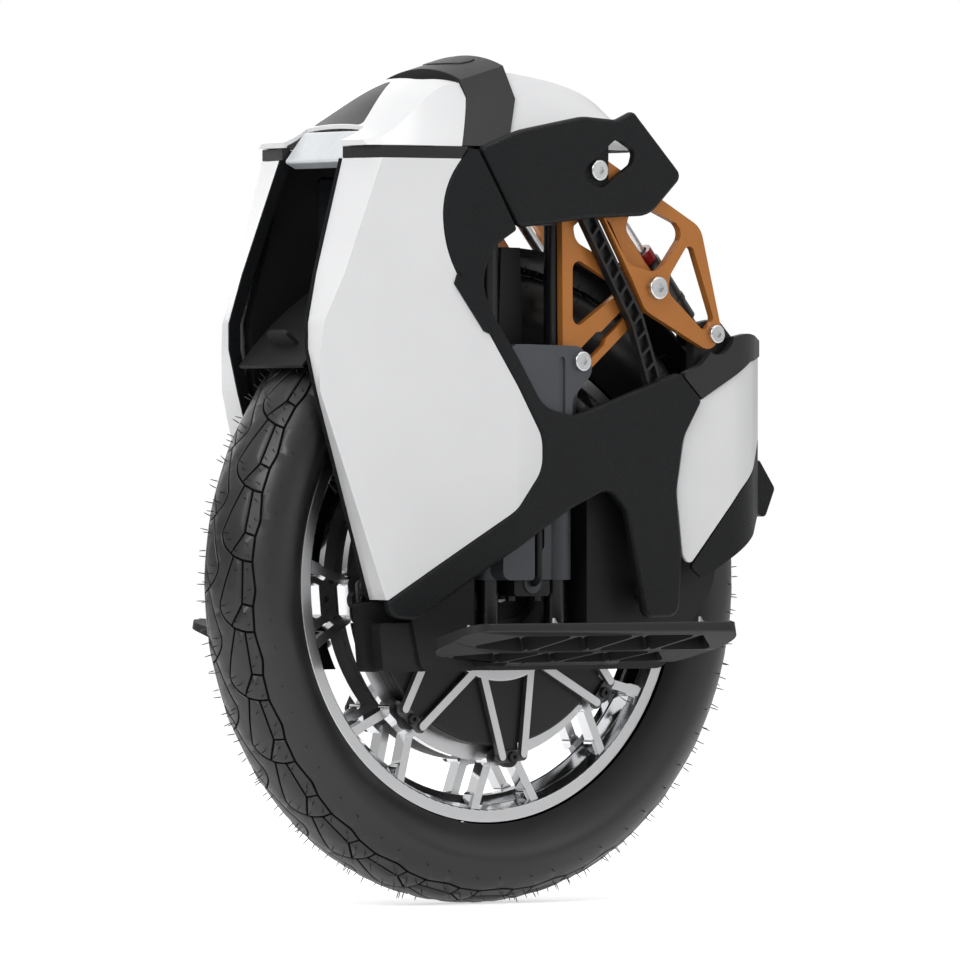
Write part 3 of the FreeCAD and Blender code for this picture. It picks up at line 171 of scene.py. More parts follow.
# moulded plastics: a fine spark-eroded grain over a slow drift of tone
plastics = {
    "white_panel": {"dark": rgb(0.70, 0.702, 0.712), "pale": rgb(0.775, 0.778, 0.785), "rough": 0.32,
                    "spread": 0.10, "grain": 650, "depth": 0.00005, "strength": 0.10, "coat": 0.20,
                    "gleam": 0.45, "speckle": 0.2},
    "black_panel": {"dark": rgb(0.0016, 0.0018, 0.0022), "pale": rgb(0.0100, 0.0109, 0.0121), "rough": 0.50,
                    "spread": 0.16, "grain": 620, "depth": 0.0005, "strength": 0.95, "coat": 0.0,
                    "gleam": 0.17, "speckle": 0.75},
    "grey_trim": {"dark": rgb(0.0120, 0.0122, 0.0126), "pale": rgb(0.0195, 0.0198, 0.0205), "rough": 0.44,
                  "spread": 0.14, "grain": 1300, "depth": 0.00018, "strength": 0.45, "coat": 0.0,
                  "gleam": 0.30, "speckle": 0.35},
    "dark_housing": {"dark": rgb(0.0055, 0.0056, 0.0058), "pale": rgb(0.0105, 0.0107, 0.0110), "rough": 0.55,
                     "spread": 0.15, "grain": 900, "depth": 0.0002, "strength": 0.4, "coat": 0.0,
                     "gleam": 0.25, "speckle": 0.4},
    "pack_wrap": {"dark": rgb(0.010, 0.011, 0.014), "pale": rgb(0.020, 0.022, 0.028), "rough": 0.35,
                  "spread": 0.2, "grain": 240, "depth": 0.0004, "strength": 0.4, "coat": 0.0,
                  "gleam": 0.4, "speckle": 0.3},
    "cable_rubber": {"dark": rgb(0.007, 0.007, 0.007), "pale": rgb(0.013, 0.013, 0.013), "rough": 0.55,
                     "spread": 0.2, "grain": 1600, "depth": 0.0002, "strength": 0.4, "coat": 0.0,
                     "gleam": 0.3, "speckle": 0.3},
}
moulding = {"drift": 14, "scuff": 130, "scuffRange": (0.55, 0.78), "scuffRough": 0.06, "fineGrain": 1.7,
            "cellShare": 0.6, "coatRough": 0.22}


def plasticRecipe(look):
    def recipe(bench):
        drift = bench.noise(moulding["drift"], 4)
        scuff = bench.noise(moulding["scuff"], 5, 0.65).ease(*moulding["scuffRange"])
        fine = bench.noise(look["grain"] * moulding["fineGrain"], 2)
        grain = bench.cells(look["grain"]) * moulding["cellShare"] + fine * (1 - moulding["cellShare"])
        mix = drift * (1 - look["speckle"]) + grain * look["speckle"]
        rough = look["rough"] + (drift - 0.5) * look["spread"]
        sockets = {"Base Color": mix.blend(look["dark"], look["pale"]),
                   "Roughness": rough + scuff * moulding["scuffRough"],
                   "Normal": bench.bump(grain, look["strength"], look["depth"])}
        return sockets, {"Coat Weight": look["coat"], "Coat Roughness": moulding["coatRough"],
                         "Specular IOR Level": look["gleam"]}
    return recipe


# painted, anodised and blasted metals
metals = {
    "black_casing": {"dark": rgb(0.0060, 0.0060, 0.0065), "pale": rgb(0.0120, 0.0120, 0.0130), "metal": 0.0,
                     "rough": 0.42, "grain": 700, "strength": 0.30, "gleam": 0.30},
    "black_tube": {"dark": rgb(0.0050, 0.0050, 0.0055), "pale": rgb(0.0095, 0.0095, 0.0105), "metal": 0.0,
                   "rough": 0.26, "grain": 1800, "strength": 0.12, "gleam": 0.45},
    "slate_metal": {"dark": rgb(0.046, 0.050, 0.057), "pale": rgb(0.068, 0.074, 0.083), "metal": 0.20,
                    "rough": 0.42, "grain": 1000, "strength": 0.28, "gleam": 0.4},
    "copper_link": {"dark": rgb(0.36, 0.128, 0.024), "pale": rgb(0.47, 0.175, 0.036), "metal": 0.30,
                    "rough": 0.36, "grain": 1200, "strength": 0.25, "gleam": 0.4},
    "pedal_alloy": {"dark": rgb(0.0070, 0.0070, 0.0075), "pale": rgb(0.0145, 0.0145, 0.0155), "metal": 0.0,
                    "rough": 0.55, "grain": 620, "strength": 0.60, "gleam": 0.28},
    "motor_core": {"dark": rgb(0.05, 0.04, 0.035), "pale": rgb(0.12, 0.10, 0.085), "metal": 0.7,
                   "rough": 0.5, "grain": 900, "strength": 0.3, "gleam": 0.5},
}
blasting = {"drift": 22, "driftShare": 0.75, "driftRough": 0.14, "rub": 85, "rubRange": (0.58, 0.80),
            "rubRough": 0.07, "depth": 0.00015}


def metalRecipe(look):
    def recipe(bench):
        drift = bench.noise(blasting["drift"], 4)
        blast = bench.cells(look["grain"]) * 0.5 + bench.noise(look["grain"] * 2, 2) * 0.5
        rub = bench.noise(blasting["rub"], 6, 0.7).ease(*blasting["rubRange"])
        mix = drift * blasting["driftShare"] + blast * (1 - blasting["driftShare"])
        rough = look["rough"] + (drift - 0.5) * blasting["driftRough"]
        sockets = {"Base Color": mix.blend(look["dark"], look["pale"]),
                   "Roughness": rough + rub * blasting["rubRough"],
                   "Normal": bench.bump(blast, look["strength"], blasting["depth"])}
        return sockets, {"Metallic": look["metal"], "Specular IOR Level": look["gleam"]}
    return recipe


# bright wheel metals: turned faces look along the axle, the rest is polished or blacked
brights = {
    "polished_rim": {"face": rgb(0.52, 0.523, 0.53), "side": rgb(0.74, 0.745, 0.755), "faceRough": 0.30,
                     "sideRough": 0.08, "sideMetal": 1.0, "faceFrom": 0.0},
    "machined_face": {"face": rgb(0.52, 0.523, 0.53), "side": rgb(0.007, 0.007, 0.008), "faceRough": 0.32,
                      "sideRough": 0.38, "sideMetal": 0.0, "faceFrom": 0.0336},
}
turning = {"pitch": 0.0007, "faceTurn": (0.86, 0.93), "faceStep": 0.0002, "smear": 60, "smearRough": 0.04,
           "stain": rgb(0.42, 0.42, 0.43), "stainShare": 0.12, "markRough": 0.12, "strength": 0.12,
           "depth": 0.0001}


def brightRecipe(look):
    def recipe(bench):
        outermost = abs(bench.axis("Y")).ease(look["faceFrom"] - turning["faceStep"], look["faceFrom"])
        face = abs(bench.faceAxis("Y")).ease(*turning["faceTurn"]) * outermost
        marks = bench.rings(turning["pitch"])
        smear = bench.noise(turning["smear"], 4)
        stain = marks * turning["stainShare"] + smear * turning["stainShare"]
        rough = face * look["faceRough"] + (1 - face) * look["sideRough"]
        rough = rough + (marks - 0.5) * turning["markRough"] * face
        sockets = {"Base Color": stain.blend(face.blend(look["side"], look["face"]), turning["stain"]),
                   "Roughness": rough + smear * turning["smearRough"],
                   "Metallic": face + (1 - face) * look["sideMetal"],
                   "Normal": bench.bump(marks * face, turning["strength"], turning["depth"])}
        return sockets, {}
    return recipe


# bare steel of bolts, shafts and studs
steels = {
    "bare_steel": {"dark": rgb(0.50, 0.505, 0.51), "pale": rgb(0.62, 0.625, 0.63), "rough": 0.28},
    "stud_steel": {"dark": rgb(0.16, 0.165, 0.17), "pale": rgb(0.28, 0.285, 0.29), "rough": 0.38},
}
drawing = {"lines": 2600, "stretch": (1.0, 0.12, 1.0), "smear": 110, "smearRough": 0.16, "strength": 0.05,
           "depth": 0.00004}


def steelRecipe(look):
    def recipe(bench):
        lines = bench.noise(drawing["lines"], 3, 0.6, drawing["stretch"])
        smear = bench.noise(drawing["smear"], 4)
        sockets = {"Base Color": (lines * 0.5 + smear * 0.5).blend(look["dark"], look["pale"]),
                   "Roughness": look["rough"] + (smear - 0.5) * drawing["smearRough"],
                   "Normal": bench.bump(lines, drawing["strength"], drawing["depth"])}
        return sockets, {"Metallic": 1.0}
    return recipe


# tyre rubber: dull, with a faint bloom and moulding skin
rubber = {"dark": rgb(0.0060, 0.0060, 0.0062), "pale": rgb(0.0120, 0.0120, 0.0124), "rough": 0.42,
          "bloom": 18, "bloomShare": 0.8, "bloomRough": 0.16, "skin": 1500, "skinCells": 800,
          "ringPitch": 0.0016, "ringRough": 0.06, "ringShare": 0.3, "strength": 0.28, "depth": 0.00022}


def rubberRecipe(bench):
    bloom = bench.noise(rubber["bloom"], 5, 0.6)
    skin = bench.noise(rubber["skin"], 3) * 0.6 + bench.cells(rubber["skinCells"]) * 0.4
    rings = bench.rings(rubber["ringPitch"])
    mix = bloom * rubber["bloomShare"] + skin * (1 - rubber["bloomShare"])
    rough = rubber["rough"] + (bloom - 0.5) * rubber["bloomRough"]
    relief = skin * (1 - rubber["ringShare"]) + rings * rubber["ringShare"]
    sockets = {"Base Color": mix.blend(rubber["dark"], rubber["pale"]),
               "Roughness": rough + (rings - 0.5) * rubber["ringRough"],
               "Normal": bench.bump(relief, rubber["strength"], rubber["depth"])}
    return sockets, {"Specular IOR Level": 0.5}


# the carcass at the bottom of the tread's grooves, coloured darker than the tread rubber as painted shade in
# the grooves
groove = {"dark": rgb(0.0012, 0.0012, 0.0012), "pale": rgb(0.004, 0.004, 0.004), "rough": 0.8,
          "dust": 400, "dustRough": 0.15, "strength": 0.3, "depth": 0.0003}


def grooveRecipe(bench):
    dust = bench.noise(groove["dust"], 4)
    # painted shade: both colours lie well below the tread rubber, with a random mottle between them
    sockets = {"Base Color": dust.blend(groove["dark"], groove["pale"]),
               "Roughness": groove["rough"] + dust * groove["dustRough"],
               "Normal": bench.bump(dust, groove["strength"], groove["depth"])}
    return sockets, {"Specular IOR Level": 0.1}


# lenses and the anodised dials
lenses = {
    "lamp_lens": {"tone": rgb(0.74, 0.76, 0.78), "deep": rgb(0.50, 0.53, 0.56), "rough": 0.16,
                  "flutes": 520},
    "tail_lens": {"tone": rgb(0.30, 0.010, 0.012), "deep": rgb(0.13, 0.004, 0.006), "rough": 0.14,
                  "flutes": 620},
    "crimson_dial": {"tone": rgb(0.36, 0.010, 0.020), "deep": rgb(0.16, 0.004, 0.010), "rough": 0.18,
                     "flutes": 1500},
}
fluting = {"stretch": (0.2, 1.0, 0.2), "haze": 40, "hazeShare": 0.6, "hazeRough": 0.08, "strength": 0.2,
           "depth": 0.0003, "coat": 0.6, "coatRough": 0.08}


def lensRecipe(look):
    def recipe(bench):
        flutes = bench.noise(look["flutes"], 2, 0.4, fluting["stretch"])
        haze = bench.noise(fluting["haze"], 4)
        mix = flutes * (1 - fluting["hazeShare"]) + haze * fluting["hazeShare"]
        sockets = {"Base Color": mix.blend(look["deep"], look["tone"]),
                   "Roughness": look["rough"] + haze * fluting["hazeRough"],
                   "Normal": bench.bump(flutes, fluting["strength"], fluting["depth"])}
        return sockets, {"Coat Weight": fluting["coat"], "Coat Roughness": fluting["coatRough"]}
    return recipe


# the groove finish is painted shade for the floor of the tread's grooves
finishes = {"tyre_rubber": newFinish("tyreRubber", rubberRecipe),
            "groove": newFinish("treadGrooveShade", grooveRecipe)}
for table, recipeFor in ((plastics, plasticRecipe), (metals, metalRecipe), (brights, brightRecipe),
                         (steels, steelRecipe), (lenses, lensRecipe)):
    for slotName, look in table.items():
        finishes[slotName] = newFinish(slotName, recipeFor(look))
for nodeName, nodeObject in nodes.items():
    nodeObject.data.materials.clear()
    nodeObject.data.materials.append(finishes[slotOf[nodeName]])
print("finishes made:", len(finishes))


def addPiece(name, mesh, finish, body, hides=()):
    piece = bpy.data.objects.new(name, mesh)
    bpy.context.scene.collection.objects.link(piece)
    mesh.materials.append(finish)
    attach(piece, body)
    if hides:
        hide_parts(*hides)
    return piece


# moulded and machined edges: a copy of the node with its sharp edges rounded, radii in millimetres
softEdges = {
    "left_frame": 1.3, "right_frame": 1.3, "left_wing": 1.6, "right_wing": 1.6, "left_front_shell": 0.9,
    "right_front_shell": 0.9, "front_cowl": 0.9, "rear_cowl": 0.9, "handle": 4.5, "belt_strips": 0.6,
    "visor": 0.4, "headlight": 0.9, "tail_panels": 0.7, "tail_tub": 2.4, "tail_guard": 1.4, "brackets": 0.8,
    "left_rocker": 0.8, "right_rocker": 0.8, "struts": 0.6, "left_slider": 0.7, "right_slider": 0.7,
    "left_pedal": 0.7, "right_pedal": 0.7, "rim": 0.35, "spiders": 0.4, "left_housing": 1.0,
    "right_housing": 1.0, "crown": 0.8, "left_sill": 0.8, "right_sill": 0.8,
}
# degrees between two faces from which their edge is rounded, and up to which they are one flat face
edgeForm = {"sharpTurn": 32, "handleTurn": 16, "flatTurn": 0.6, "weld": 0.001, "steps": 3}

# broad roundings: the outer rims of the frames and wings, and the long creases of the shells. The narrow tips
# of the frames, over tipHeight, keep their small edges.
broadRims = {"left_frame": 3.0, "right_frame": 3.0, "left_wing": 3.5, "right_wing": 3.5}
softCreases = {"left_front_shell": 9.0, "right_front_shell": 9.0}
broadFrom = {"facing": 0.6, "rimTurn": 45, "rimLength": 200, "tipHeight": 550, "shortEdge": 0.15,
             "creaseTurns": (4, 40), "creaseLength": 18, "steps": 4}


def facesOut(face):
    side = 1 if face.calc_center_median().y > 0 else -1
    return face.normal.y * side > broadFrom["facing"]


# joins edges that meet into chains and leaves out the short ones, such as the rims of bolt holes
def longChains(edges):
    waiting = set(edges)
    kept = []
    for first in edges:
        if first not in waiting:
            continue
        waiting.discard(first)
        chain, front = [], [first]
        while front:
            edge = front.pop()
            chain.append(edge)
            near = [other for vert in edge.verts for other in vert.link_edges if other in waiting]
            waiting.difference_update(near)
            front.extend(near)
        if sum(edge.calc_length() for edge in chain) > broadFrom["rimLength"] / 1000:
            kept.extend(chain)
    return kept


def broaden(shape, nodeName):
    bmesh.ops.dissolve_degenerate(shape, dist=broadFrom["shortEdge"] / 1000, edges=shape.edges)
    shape.normal_update()
    joined = [edge for edge in shape.edges if len(edge.link_faces) == 2]
    if nodeName in broadRims:
        width = broadRims[nodeName]
        turn = math.radians(broadFrom["rimTurn"])
        tip = broadFrom["tipHeight"] / 1000 if "frame" in nodeName else math.inf
        picked = longChains([edge for edge in joined if edge.calc_face_angle_signed() > turn
                             and max(vert.co.z for vert in edge.verts) < tip
                             and facesOut(edge.link_faces[0]) != facesOut(edge.link_faces[1])])
    else:
        width = softCreases[nodeName]
        low, high = (math.radians(turn) for turn in broadFrom["creaseTurns"])
        picked = [edge for edge in joined if low < edge.calc_face_angle() < high
                  and edge.calc_length() > broadFrom["creaseLength"] / 1000
                  and facesOut(edge.link_faces[0]) and facesOut(edge.link_faces[1])]
    bmesh.ops.bevel(shape, geom=picked, offset=width / 1000, offset_type="OFFSET", profile=0.5,
                    segments=broadFrom["steps"], affect="EDGES", clamp_overlap=nodeName in softCreases)


# pedals: the underside rises to a thin nose, and the outer rear corner is squarer
pedalForm = {"hinge": (102, -52), "tilt": 13, "deck": 3.6, "noseFrom": 92, "noseTo": 138, "noseThin": 0.72,
             "noseCurve": 1.5, "corner": (-111, 60), "cornerFrom": 12.8, "cornerSquare": 0.75}


def trimPedal(shape):
    turn = math.radians(pedalForm["tilt"])
    hingeOut, hingeUp = pedalForm["hinge"]
    cornerX, cornerY = pedalForm["corner"]
    deck = pedalForm["deck"]
    for vert in shape.verts:
        side = 1 if vert.co.y > 0 else -1
        along = vert.co.x * 1000
        out = side * vert.co.y * 1000 - hingeOut
        up = (vert.co.z - axleHeight) * 1000 - hingeUp
        y = out * math.cos(turn) + up * math.sin(turn)
        z = up * math.cos(turn) - out * math.sin(turn)
        share = (along - pedalForm["noseFrom"]) / (pedalForm["noseTo"] - pedalForm["noseFrom"])
        if share > 0 and z < deck:
            z = deck - (deck - z) * (1 - pedalForm["noseThin"] * min(1, share) ** pedalForm["noseCurve"])
        dx, dy = along - cornerX, y - cornerY
        reach = math.hypot(dx, dy)
        if dx < 0 < dy and reach > pedalForm["cornerFrom"]:
            grow = 1 + pedalForm["cornerSquare"] * (reach / max(-dx, dy) - 1)
            along, y = cornerX + dx * grow, cornerY + dy * grow
        out = y * math.cos(turn) - z * math.sin(turn)
        up = y * math.sin(turn) + z * math.cos(turn)
        vert.co = (along / 1000, side * (out + hingeOut) / 1000, axleHeight + (up + hingeUp) / 1000)


# a right frame or wing is the mirror image of the left one, so that both have the same edges
def softEdged(nodeName, width):
    mirrored = nodeName in broadRims and nodeName.startswith("right")
    mesh = nodes[nodeName.replace("right", "left") if mirrored else nodeName].data.copy()
    shape = bmesh.new()
    shape.from_mesh(mesh)
    if mirrored:
        for vert in shape.verts:
            vert.co.y = -vert.co.y
        bmesh.ops.reverse_faces(shape, faces=shape.faces)
    bmesh.ops.remove_doubles(shape, verts=shape.verts, dist=edgeForm["weld"] / 1000)
    bmesh.ops.dissolve_limit(shape, angle_limit=math.radians(edgeForm["flatTurn"]), verts=shape.verts,
                             edges=shape.edges)
    if nodeName in ("left_pedal", "right_pedal"):
        trimPedal(shape)
    if nodeName in broadRims or nodeName in softCreases:
        broaden(shape, nodeName)
    shape.to_mesh(mesh)
    shape.free()
    mesh.materials.clear()
    mesh.shade_smooth()
    mesh.set_sharp_from_angle(angle=math.radians(edgeForm["sharpTurn"]))
    slotName = slotOf[nodeName]
    piece = addPiece(nodeName + "_soft", mesh, finishes[slotName], bodyOf[nodeName], [nodeName])
    roundEdges(piece, width, edgeForm["handleTurn" if nodeName == "handle" else "sharpTurn"])


def roundEdges(piece, width, fromAngle):
    bevel = piece.modifiers.new("roundedEdge", "BEVEL")
    bevel.width = width / 1000
    bevel.segments = edgeForm["steps"]
    bevel.limit_method = "ANGLE"
    bevel.angle_limit = math.radians(fromAngle)
    bevel.use_clamp_overlap = True
    even = piece.modifiers.new("evenShading", "WEIGHTED_NORMAL")
    even.weight = 100
    even.keep_sharp = False
    applyModifiers(piece)


def applyModifiers(piece):
    bpy.context.view_layer.update()
    done = piece.evaluated_get(bpy.context.evaluated_depsgraph_get())
    mesh = bpy.data.meshes.new_from_object(done)
    piece.modifiers.clear()
    piece.data = mesh


for nodeName, width in softEdges.items():
    softEdged(nodeName, width)
print("edges rounded:", len(softEdges))


# trim of the front shells: a dark liner along the opening's edge and a clip beside the frame's front seam
shellTrim = {
    # height above the axle, front edge forward and out, ridge forward and out, in millimetres
    "stations": [(313.5, 152, 36, 143, 72), (228, 182, 43, 173, 65), (192, 192, 46, 189, 61),
                 (173, 192, 46, 191, 59.5), (142, 184, 46, 191, 59), (-12, 136, 48, 141, 74)],
    "liner": [(3.2, -0.1), (2.6, -1.0), (-8, -1.0), (-8, -0.1)], "linerEdge": 0.3,
    "flatFrom": 30, "side": 92, "ridgeCover": 1,
    "clip": [(51, 183), (58.6, 186.4), (83.2, 221.4), (80.5, 229), (71.5, 222)],
    "clipProud": 0.9, "clipSunk": 1.5, "clipEdge": 0.6,
}


def flankAt(forward, height):
    # how far out the shell's side lies at a place
    heights, _, _, ridgesX, ridgesY = zip(*reversed(shellTrim["stations"]))
    ridgeX = np.interp(height, heights, ridgesX)
    ridgeY = np.interp(height, heights, ridgesY)
    share = max(0.0, (forward - shellTrim["flatFrom"]) / (ridgeX - shellTrim["flatFrom"]))
    return shellTrim["side"] - (shellTrim["side"] - ridgeY - shellTrim["ridgeCover"]) * share


def solidFrom(name, rings, edge, slotName, body):
    # joins rings of equal length into a closed solid with rounded edges
    count = len(rings[0])
    verts = [(x / 1000, y / 1000, axleHeight + z / 1000) for ring in rings for x, y, z in ring]
    faces = [[low + i, low + (i + 1) % count, low + count + (i + 1) % count, low + count + i]
             for low in range(0, len(verts) - count, count) for i in range(count)]
    faces += [list(range(count)), list(range(len(verts) - count, len(verts)))]
    mesh = bpy.data.meshes.new(name)
    mesh.from_pydata(verts, [], faces)
    shape = bmesh.new()
    shape.from_mesh(mesh)
    bmesh.ops.recalc_face_normals(shape, faces=shape.faces)
    shape.to_mesh(mesh)
    shape.free()
    mesh.shade_smooth()
    piece = addPiece(name, mesh, finishes[slotName], body)
    roundEdges(piece, edge, edgeForm["sharpTurn"])


def makeShellTrim():
    for sideName, flip in (("left", 1), ("right", -1)):
        rings = [[(frontX + dx, flip * (frontY + dy), height) for dx, dy in shellTrim["liner"]]
                 for height, frontX, frontY, _, _ in shellTrim["stations"]]
        solidFrom(sideName + "_liner", rings, shellTrim["linerEdge"], "black_panel", "chassis")
        rings = [[(x, flip * (flankAt(x, z) + lift), z) for x, z in shellTrim["clip"]]
                 for lift in (-shellTrim["clipSunk"], shellTrim["clipProud"])]
        solidFrom(sideName + "_clip", rings, shellTrim["clipEdge"], "black_panel", "chassis")


makeShellTrim()
print("shell trim done")


# tyre: blocks, centre band and sidewalls stand over a carcass painted darker as shade in the grooves, parted
# by narrow grooves
tread = {
    # half of the section from the bead to the crown: radius, place across
    "profile": [(180.4, 23), (188.4, 30.5), (205.4, 40), (228, 32), (tyreRadius, 0)], "sectionSteps": 1600,
    "repeats": 28, "startAngle": 4.05, "rowShift": 0.45, "gap": 0.72, "lip": 0.4, "depth": 2.2, "footing": 0.3,
    "pillow": 0.55, "pillowReach": 3.2, "beadGap": 0.3, "coreRadius": 205, "weld": 0.02, "sharpTurn": 35,
    "grid": 6.0, "gridClear": 0.4, "cornerSteps": 4, "cornerShare": 0.45, "mitreLeast": 0.35,
    # each corner: share of the repeat, millimetres across from the crown, corner radius
    "leaf": [(-0.07, 14.6, 0.8), (0.36, 5.8, 14), (0.60, 0.6, 7), (0.70, 1.6, 5), (0.80, 5.2, 7),
             (0.893, 11.6, 0.8), (0.592, 22.6, 0.8), (-0.012, 23.0, 0.8)],
    "bar": [(-0.012, 23.0, 0.8), (0.592, 22.6, 0.8), (0.633, 31.2, 0.8), (0.406, 33.7, 4), (0.0, 30.6, 0.8)],
    "heel": [(0.592, 22.6, 0.8), (0.893, 11.6, 0.8), (0.93, 14.8, 2), (0.985, 22.6, 4), (1.0, 30.6, 0.8),
             (0.633, 31.2, 0.8)],
    "inner": [(-0.07, 14.6, 1.5), (0.36, 5.8, 14), (0.60, 0.6, 7), (0.70, 1.6, 5), (0.80, 5.2, 7),
              (0.893, 11.6, 2)],
    "shoulder": [(0.0, 30.6, 2), (0.406, 33.7, 4), (0.633, 31.2, 2)],
}
pitch = 2 * math.pi * tyreRadius / tread["repeats"]


def naturalSpline(places, values):
    count = len(places)
    steps = np.diff(places)
    matrix = np.eye(count)
    right = np.zeros(count)
    for i in range(1, count - 1):
        matrix[i, i - 1:i + 2] = steps[i - 1], 2 * (steps[i - 1] + steps[i]), steps[i]
        right[i] = 6 * ((values[i + 1] - values[i]) / steps[i] - (values[i] - values[i - 1]) / steps[i - 1])
    bend = np.linalg.solve(matrix, right)

    def at(place):
        k = np.clip(np.searchsorted(places, place) - 1, 0, count - 2)
        d = place - places[k]
        slope = (values[k + 1] - values[k]) / steps[k] - steps[k] * (2 * bend[k] + bend[k + 1]) / 6
        return values[k] + d * slope + d * d * bend[k] / 2 + d ** 3 * (bend[k + 1] - bend[k]) / (6 * steps[k])
    return at


def tyreSection():
    half = tread["profile"]
    points = np.array(half + [(radius, -y) for radius, y in reversed(half[:-1])], float)
    chord = np.concatenate([[0], np.cumsum(np.hypot(*np.diff(points, axis=0).T))])
    fine = np.linspace(0, chord[-1], tread["sectionSteps"] + 1)
    radius = naturalSpline(chord, points[:, 0])(fine)
    across = naturalSpline(chord, points[:, 1])(fine)
    run = np.concatenate([[0], np.cumsum(np.hypot(np.diff(radius), np.diff(across)))])
    span = run[len(run) // 2] - run
    order = np.argsort(span)
    return span[order], radius[order], across[order]


spanTable, radiusTable, acrossTable = tyreSection()
slopeRadius = np.gradient(radiusTable, spanTable)
slopeAcross = np.gradient(acrossTable, spanTable)


def onTyre(run, span, lift):
    # run along the tread and span across it, in millimetres, to a point in the frame
    radius = np.interp(span, spanTable, radiusTable)
    across = np.interp(span, spanTable, acrossTable)
    outR = np.interp(span, spanTable, slopeAcross)
    outY = -np.interp(span, spanTable, slopeRadius)
    length = math.hypot(outR, outY)
    radius += outR / length * lift
    across += outY / length * lift
    angle = math.radians(tread["startAngle"]) - run / tyreRadius
    return radius * math.cos(angle) / 1000, across / 1000, axleHeight + radius * math.sin(angle) / 1000


def roundCorner(before, corner, after, radius):
    here = Vector(corner)
    back = Vector(before) - here
    ahead = Vector(after) - here
    reach = min(radius, back.length * tread["cornerShare"], ahead.length * tread["cornerShare"])
    start = here + back.normalized() * reach
    end = here + ahead.normalized() * reach
    shares = [k / tread["cornerSteps"] for k in range(tread["cornerSteps"] + 1)]
    return [start * (1 - t) ** 2 + here * (2 * t * (1 - t)) + end * t * t for t in shares]


def scaled(corners, shift=0.0, flip=1):
    return [((u + shift) * pitch, flip * w, radius) for u, w, radius in corners]


def closedLoop(corners):
    loop = []
    for i, (x, y, radius) in enumerate(corners):
        after = corners[(i + 1) % len(corners)]
        loop += roundCorner(corners[i - 1][:2], (x, y), after[:2], radius)
    return loop


def shifted(points, side, closed):
    # moves a line sideways by a distance, mitred at its corners
    moved = []
    count = len(points)
    for i in range(count):
        here = points[i]
        before = points[i - 1] if closed or i else points[i] * 2 - points[i + 1]
        after = points[(i + 1) % count] if closed or i < count - 1 else points[i] * 2 - points[i - 1]
        first = (here - before).normalized()
        second = (after - here).normalized()
        middle = Vector((-first.y - second.y, first.x + second.x)).normalized()
        fit = max(tread["mitreLeast"], middle.dot(Vector((-first.y, first.x))))
        moved.append(here + middle * side / fit)
    return moved


def periodLine(corners, shift, flip, side, first=0):
    # one period of an endless line, starting at the given corner, moved sideways
    base = scaled(corners, shift, flip)
    longLine = [(x + k * pitch, y, radius) for k in range(-2, 3) for x, y, radius in base]
    count = len(base)
    rounded = [roundCorner(before[:2], here[:2], after[:2], here[2])
               for before, here, after in zip(longLine, longLine[1:], longLine[2:])]
    flat = [point for corner in rounded for point in corner]
    moved = shifted(flat, side, False)
    perCorner = len(rounded[0])
    begin = (2 * count - 1 + first) * perCorner
    return moved[begin:begin + count * perCorner + 1]


def divided(start, end, step):
    count = max(1, int(math.ceil((end - start).length / step)))
    return [start.lerp(end, k / count) for k in range(count)]


def turnsLeft(loop):
    return sum(a.x * b.y - b.x * a.y for a, b in zip(loop, loop[1:] + loop[:1])) > 0


def insideLoop(point, loop):
    inside = False
    for a, b in zip(loop, loop[1:] + loop[:1]):
        if (a.y > point.y) != (b.y > point.y):
            if point.x < (b.x - a.x) * (point.y - a.y) / (b.y - a.y) + a.x:
                inside = not inside
    return inside


def edgeDistance(point, line):
    nearest = math.inf
    for a, b in zip(line, line[1:]):
        step = b - a
        share = max(0.0, min(1.0, (point - a).dot(step) / max(step.length_squared, 1e-9)))
        nearest = min(nearest, (a + step * share - point).length)
    return nearest


def fillLoop(loop):
    step = tread["grid"]
    xs = [p.x for p in loop]
    ys = [p.y for p in loop]
    points = list(loop)
    for i in range(int(min(xs) // step), int(max(xs) // step) + 2):
        for j in range(int(min(ys) // step), int(max(ys) // step) + 2):
            spot = Vector((i * step + (j % 2) * step / 2, j * step))
            if insideLoop(spot, loop) and edgeDistance(spot, loop + loop[:1]) >= step * tread["gridClear"]:
                points.append(spot)
    edges = [(i, (i + 1) % len(loop)) for i in range(len(loop))]
    verts, _, faces, _, _, _ = delaunay_2d_cdt(points, edges, [], 1, 1e-5)
    return verts, [list(face) for face in faces]


def pillowed(filled, *lines):
    # the rubber swells a little from its groove to the middle of a block
    verts, faces = filled
    lifts = []
    for vert in verts:
        nearest = min(edgeDistance(vert, line) for line in lines)
        lifts.append(-tread["pillow"] * max(0.0, 1 - nearest / tread["pillowReach"]) ** 2)
    return verts, faces, lifts


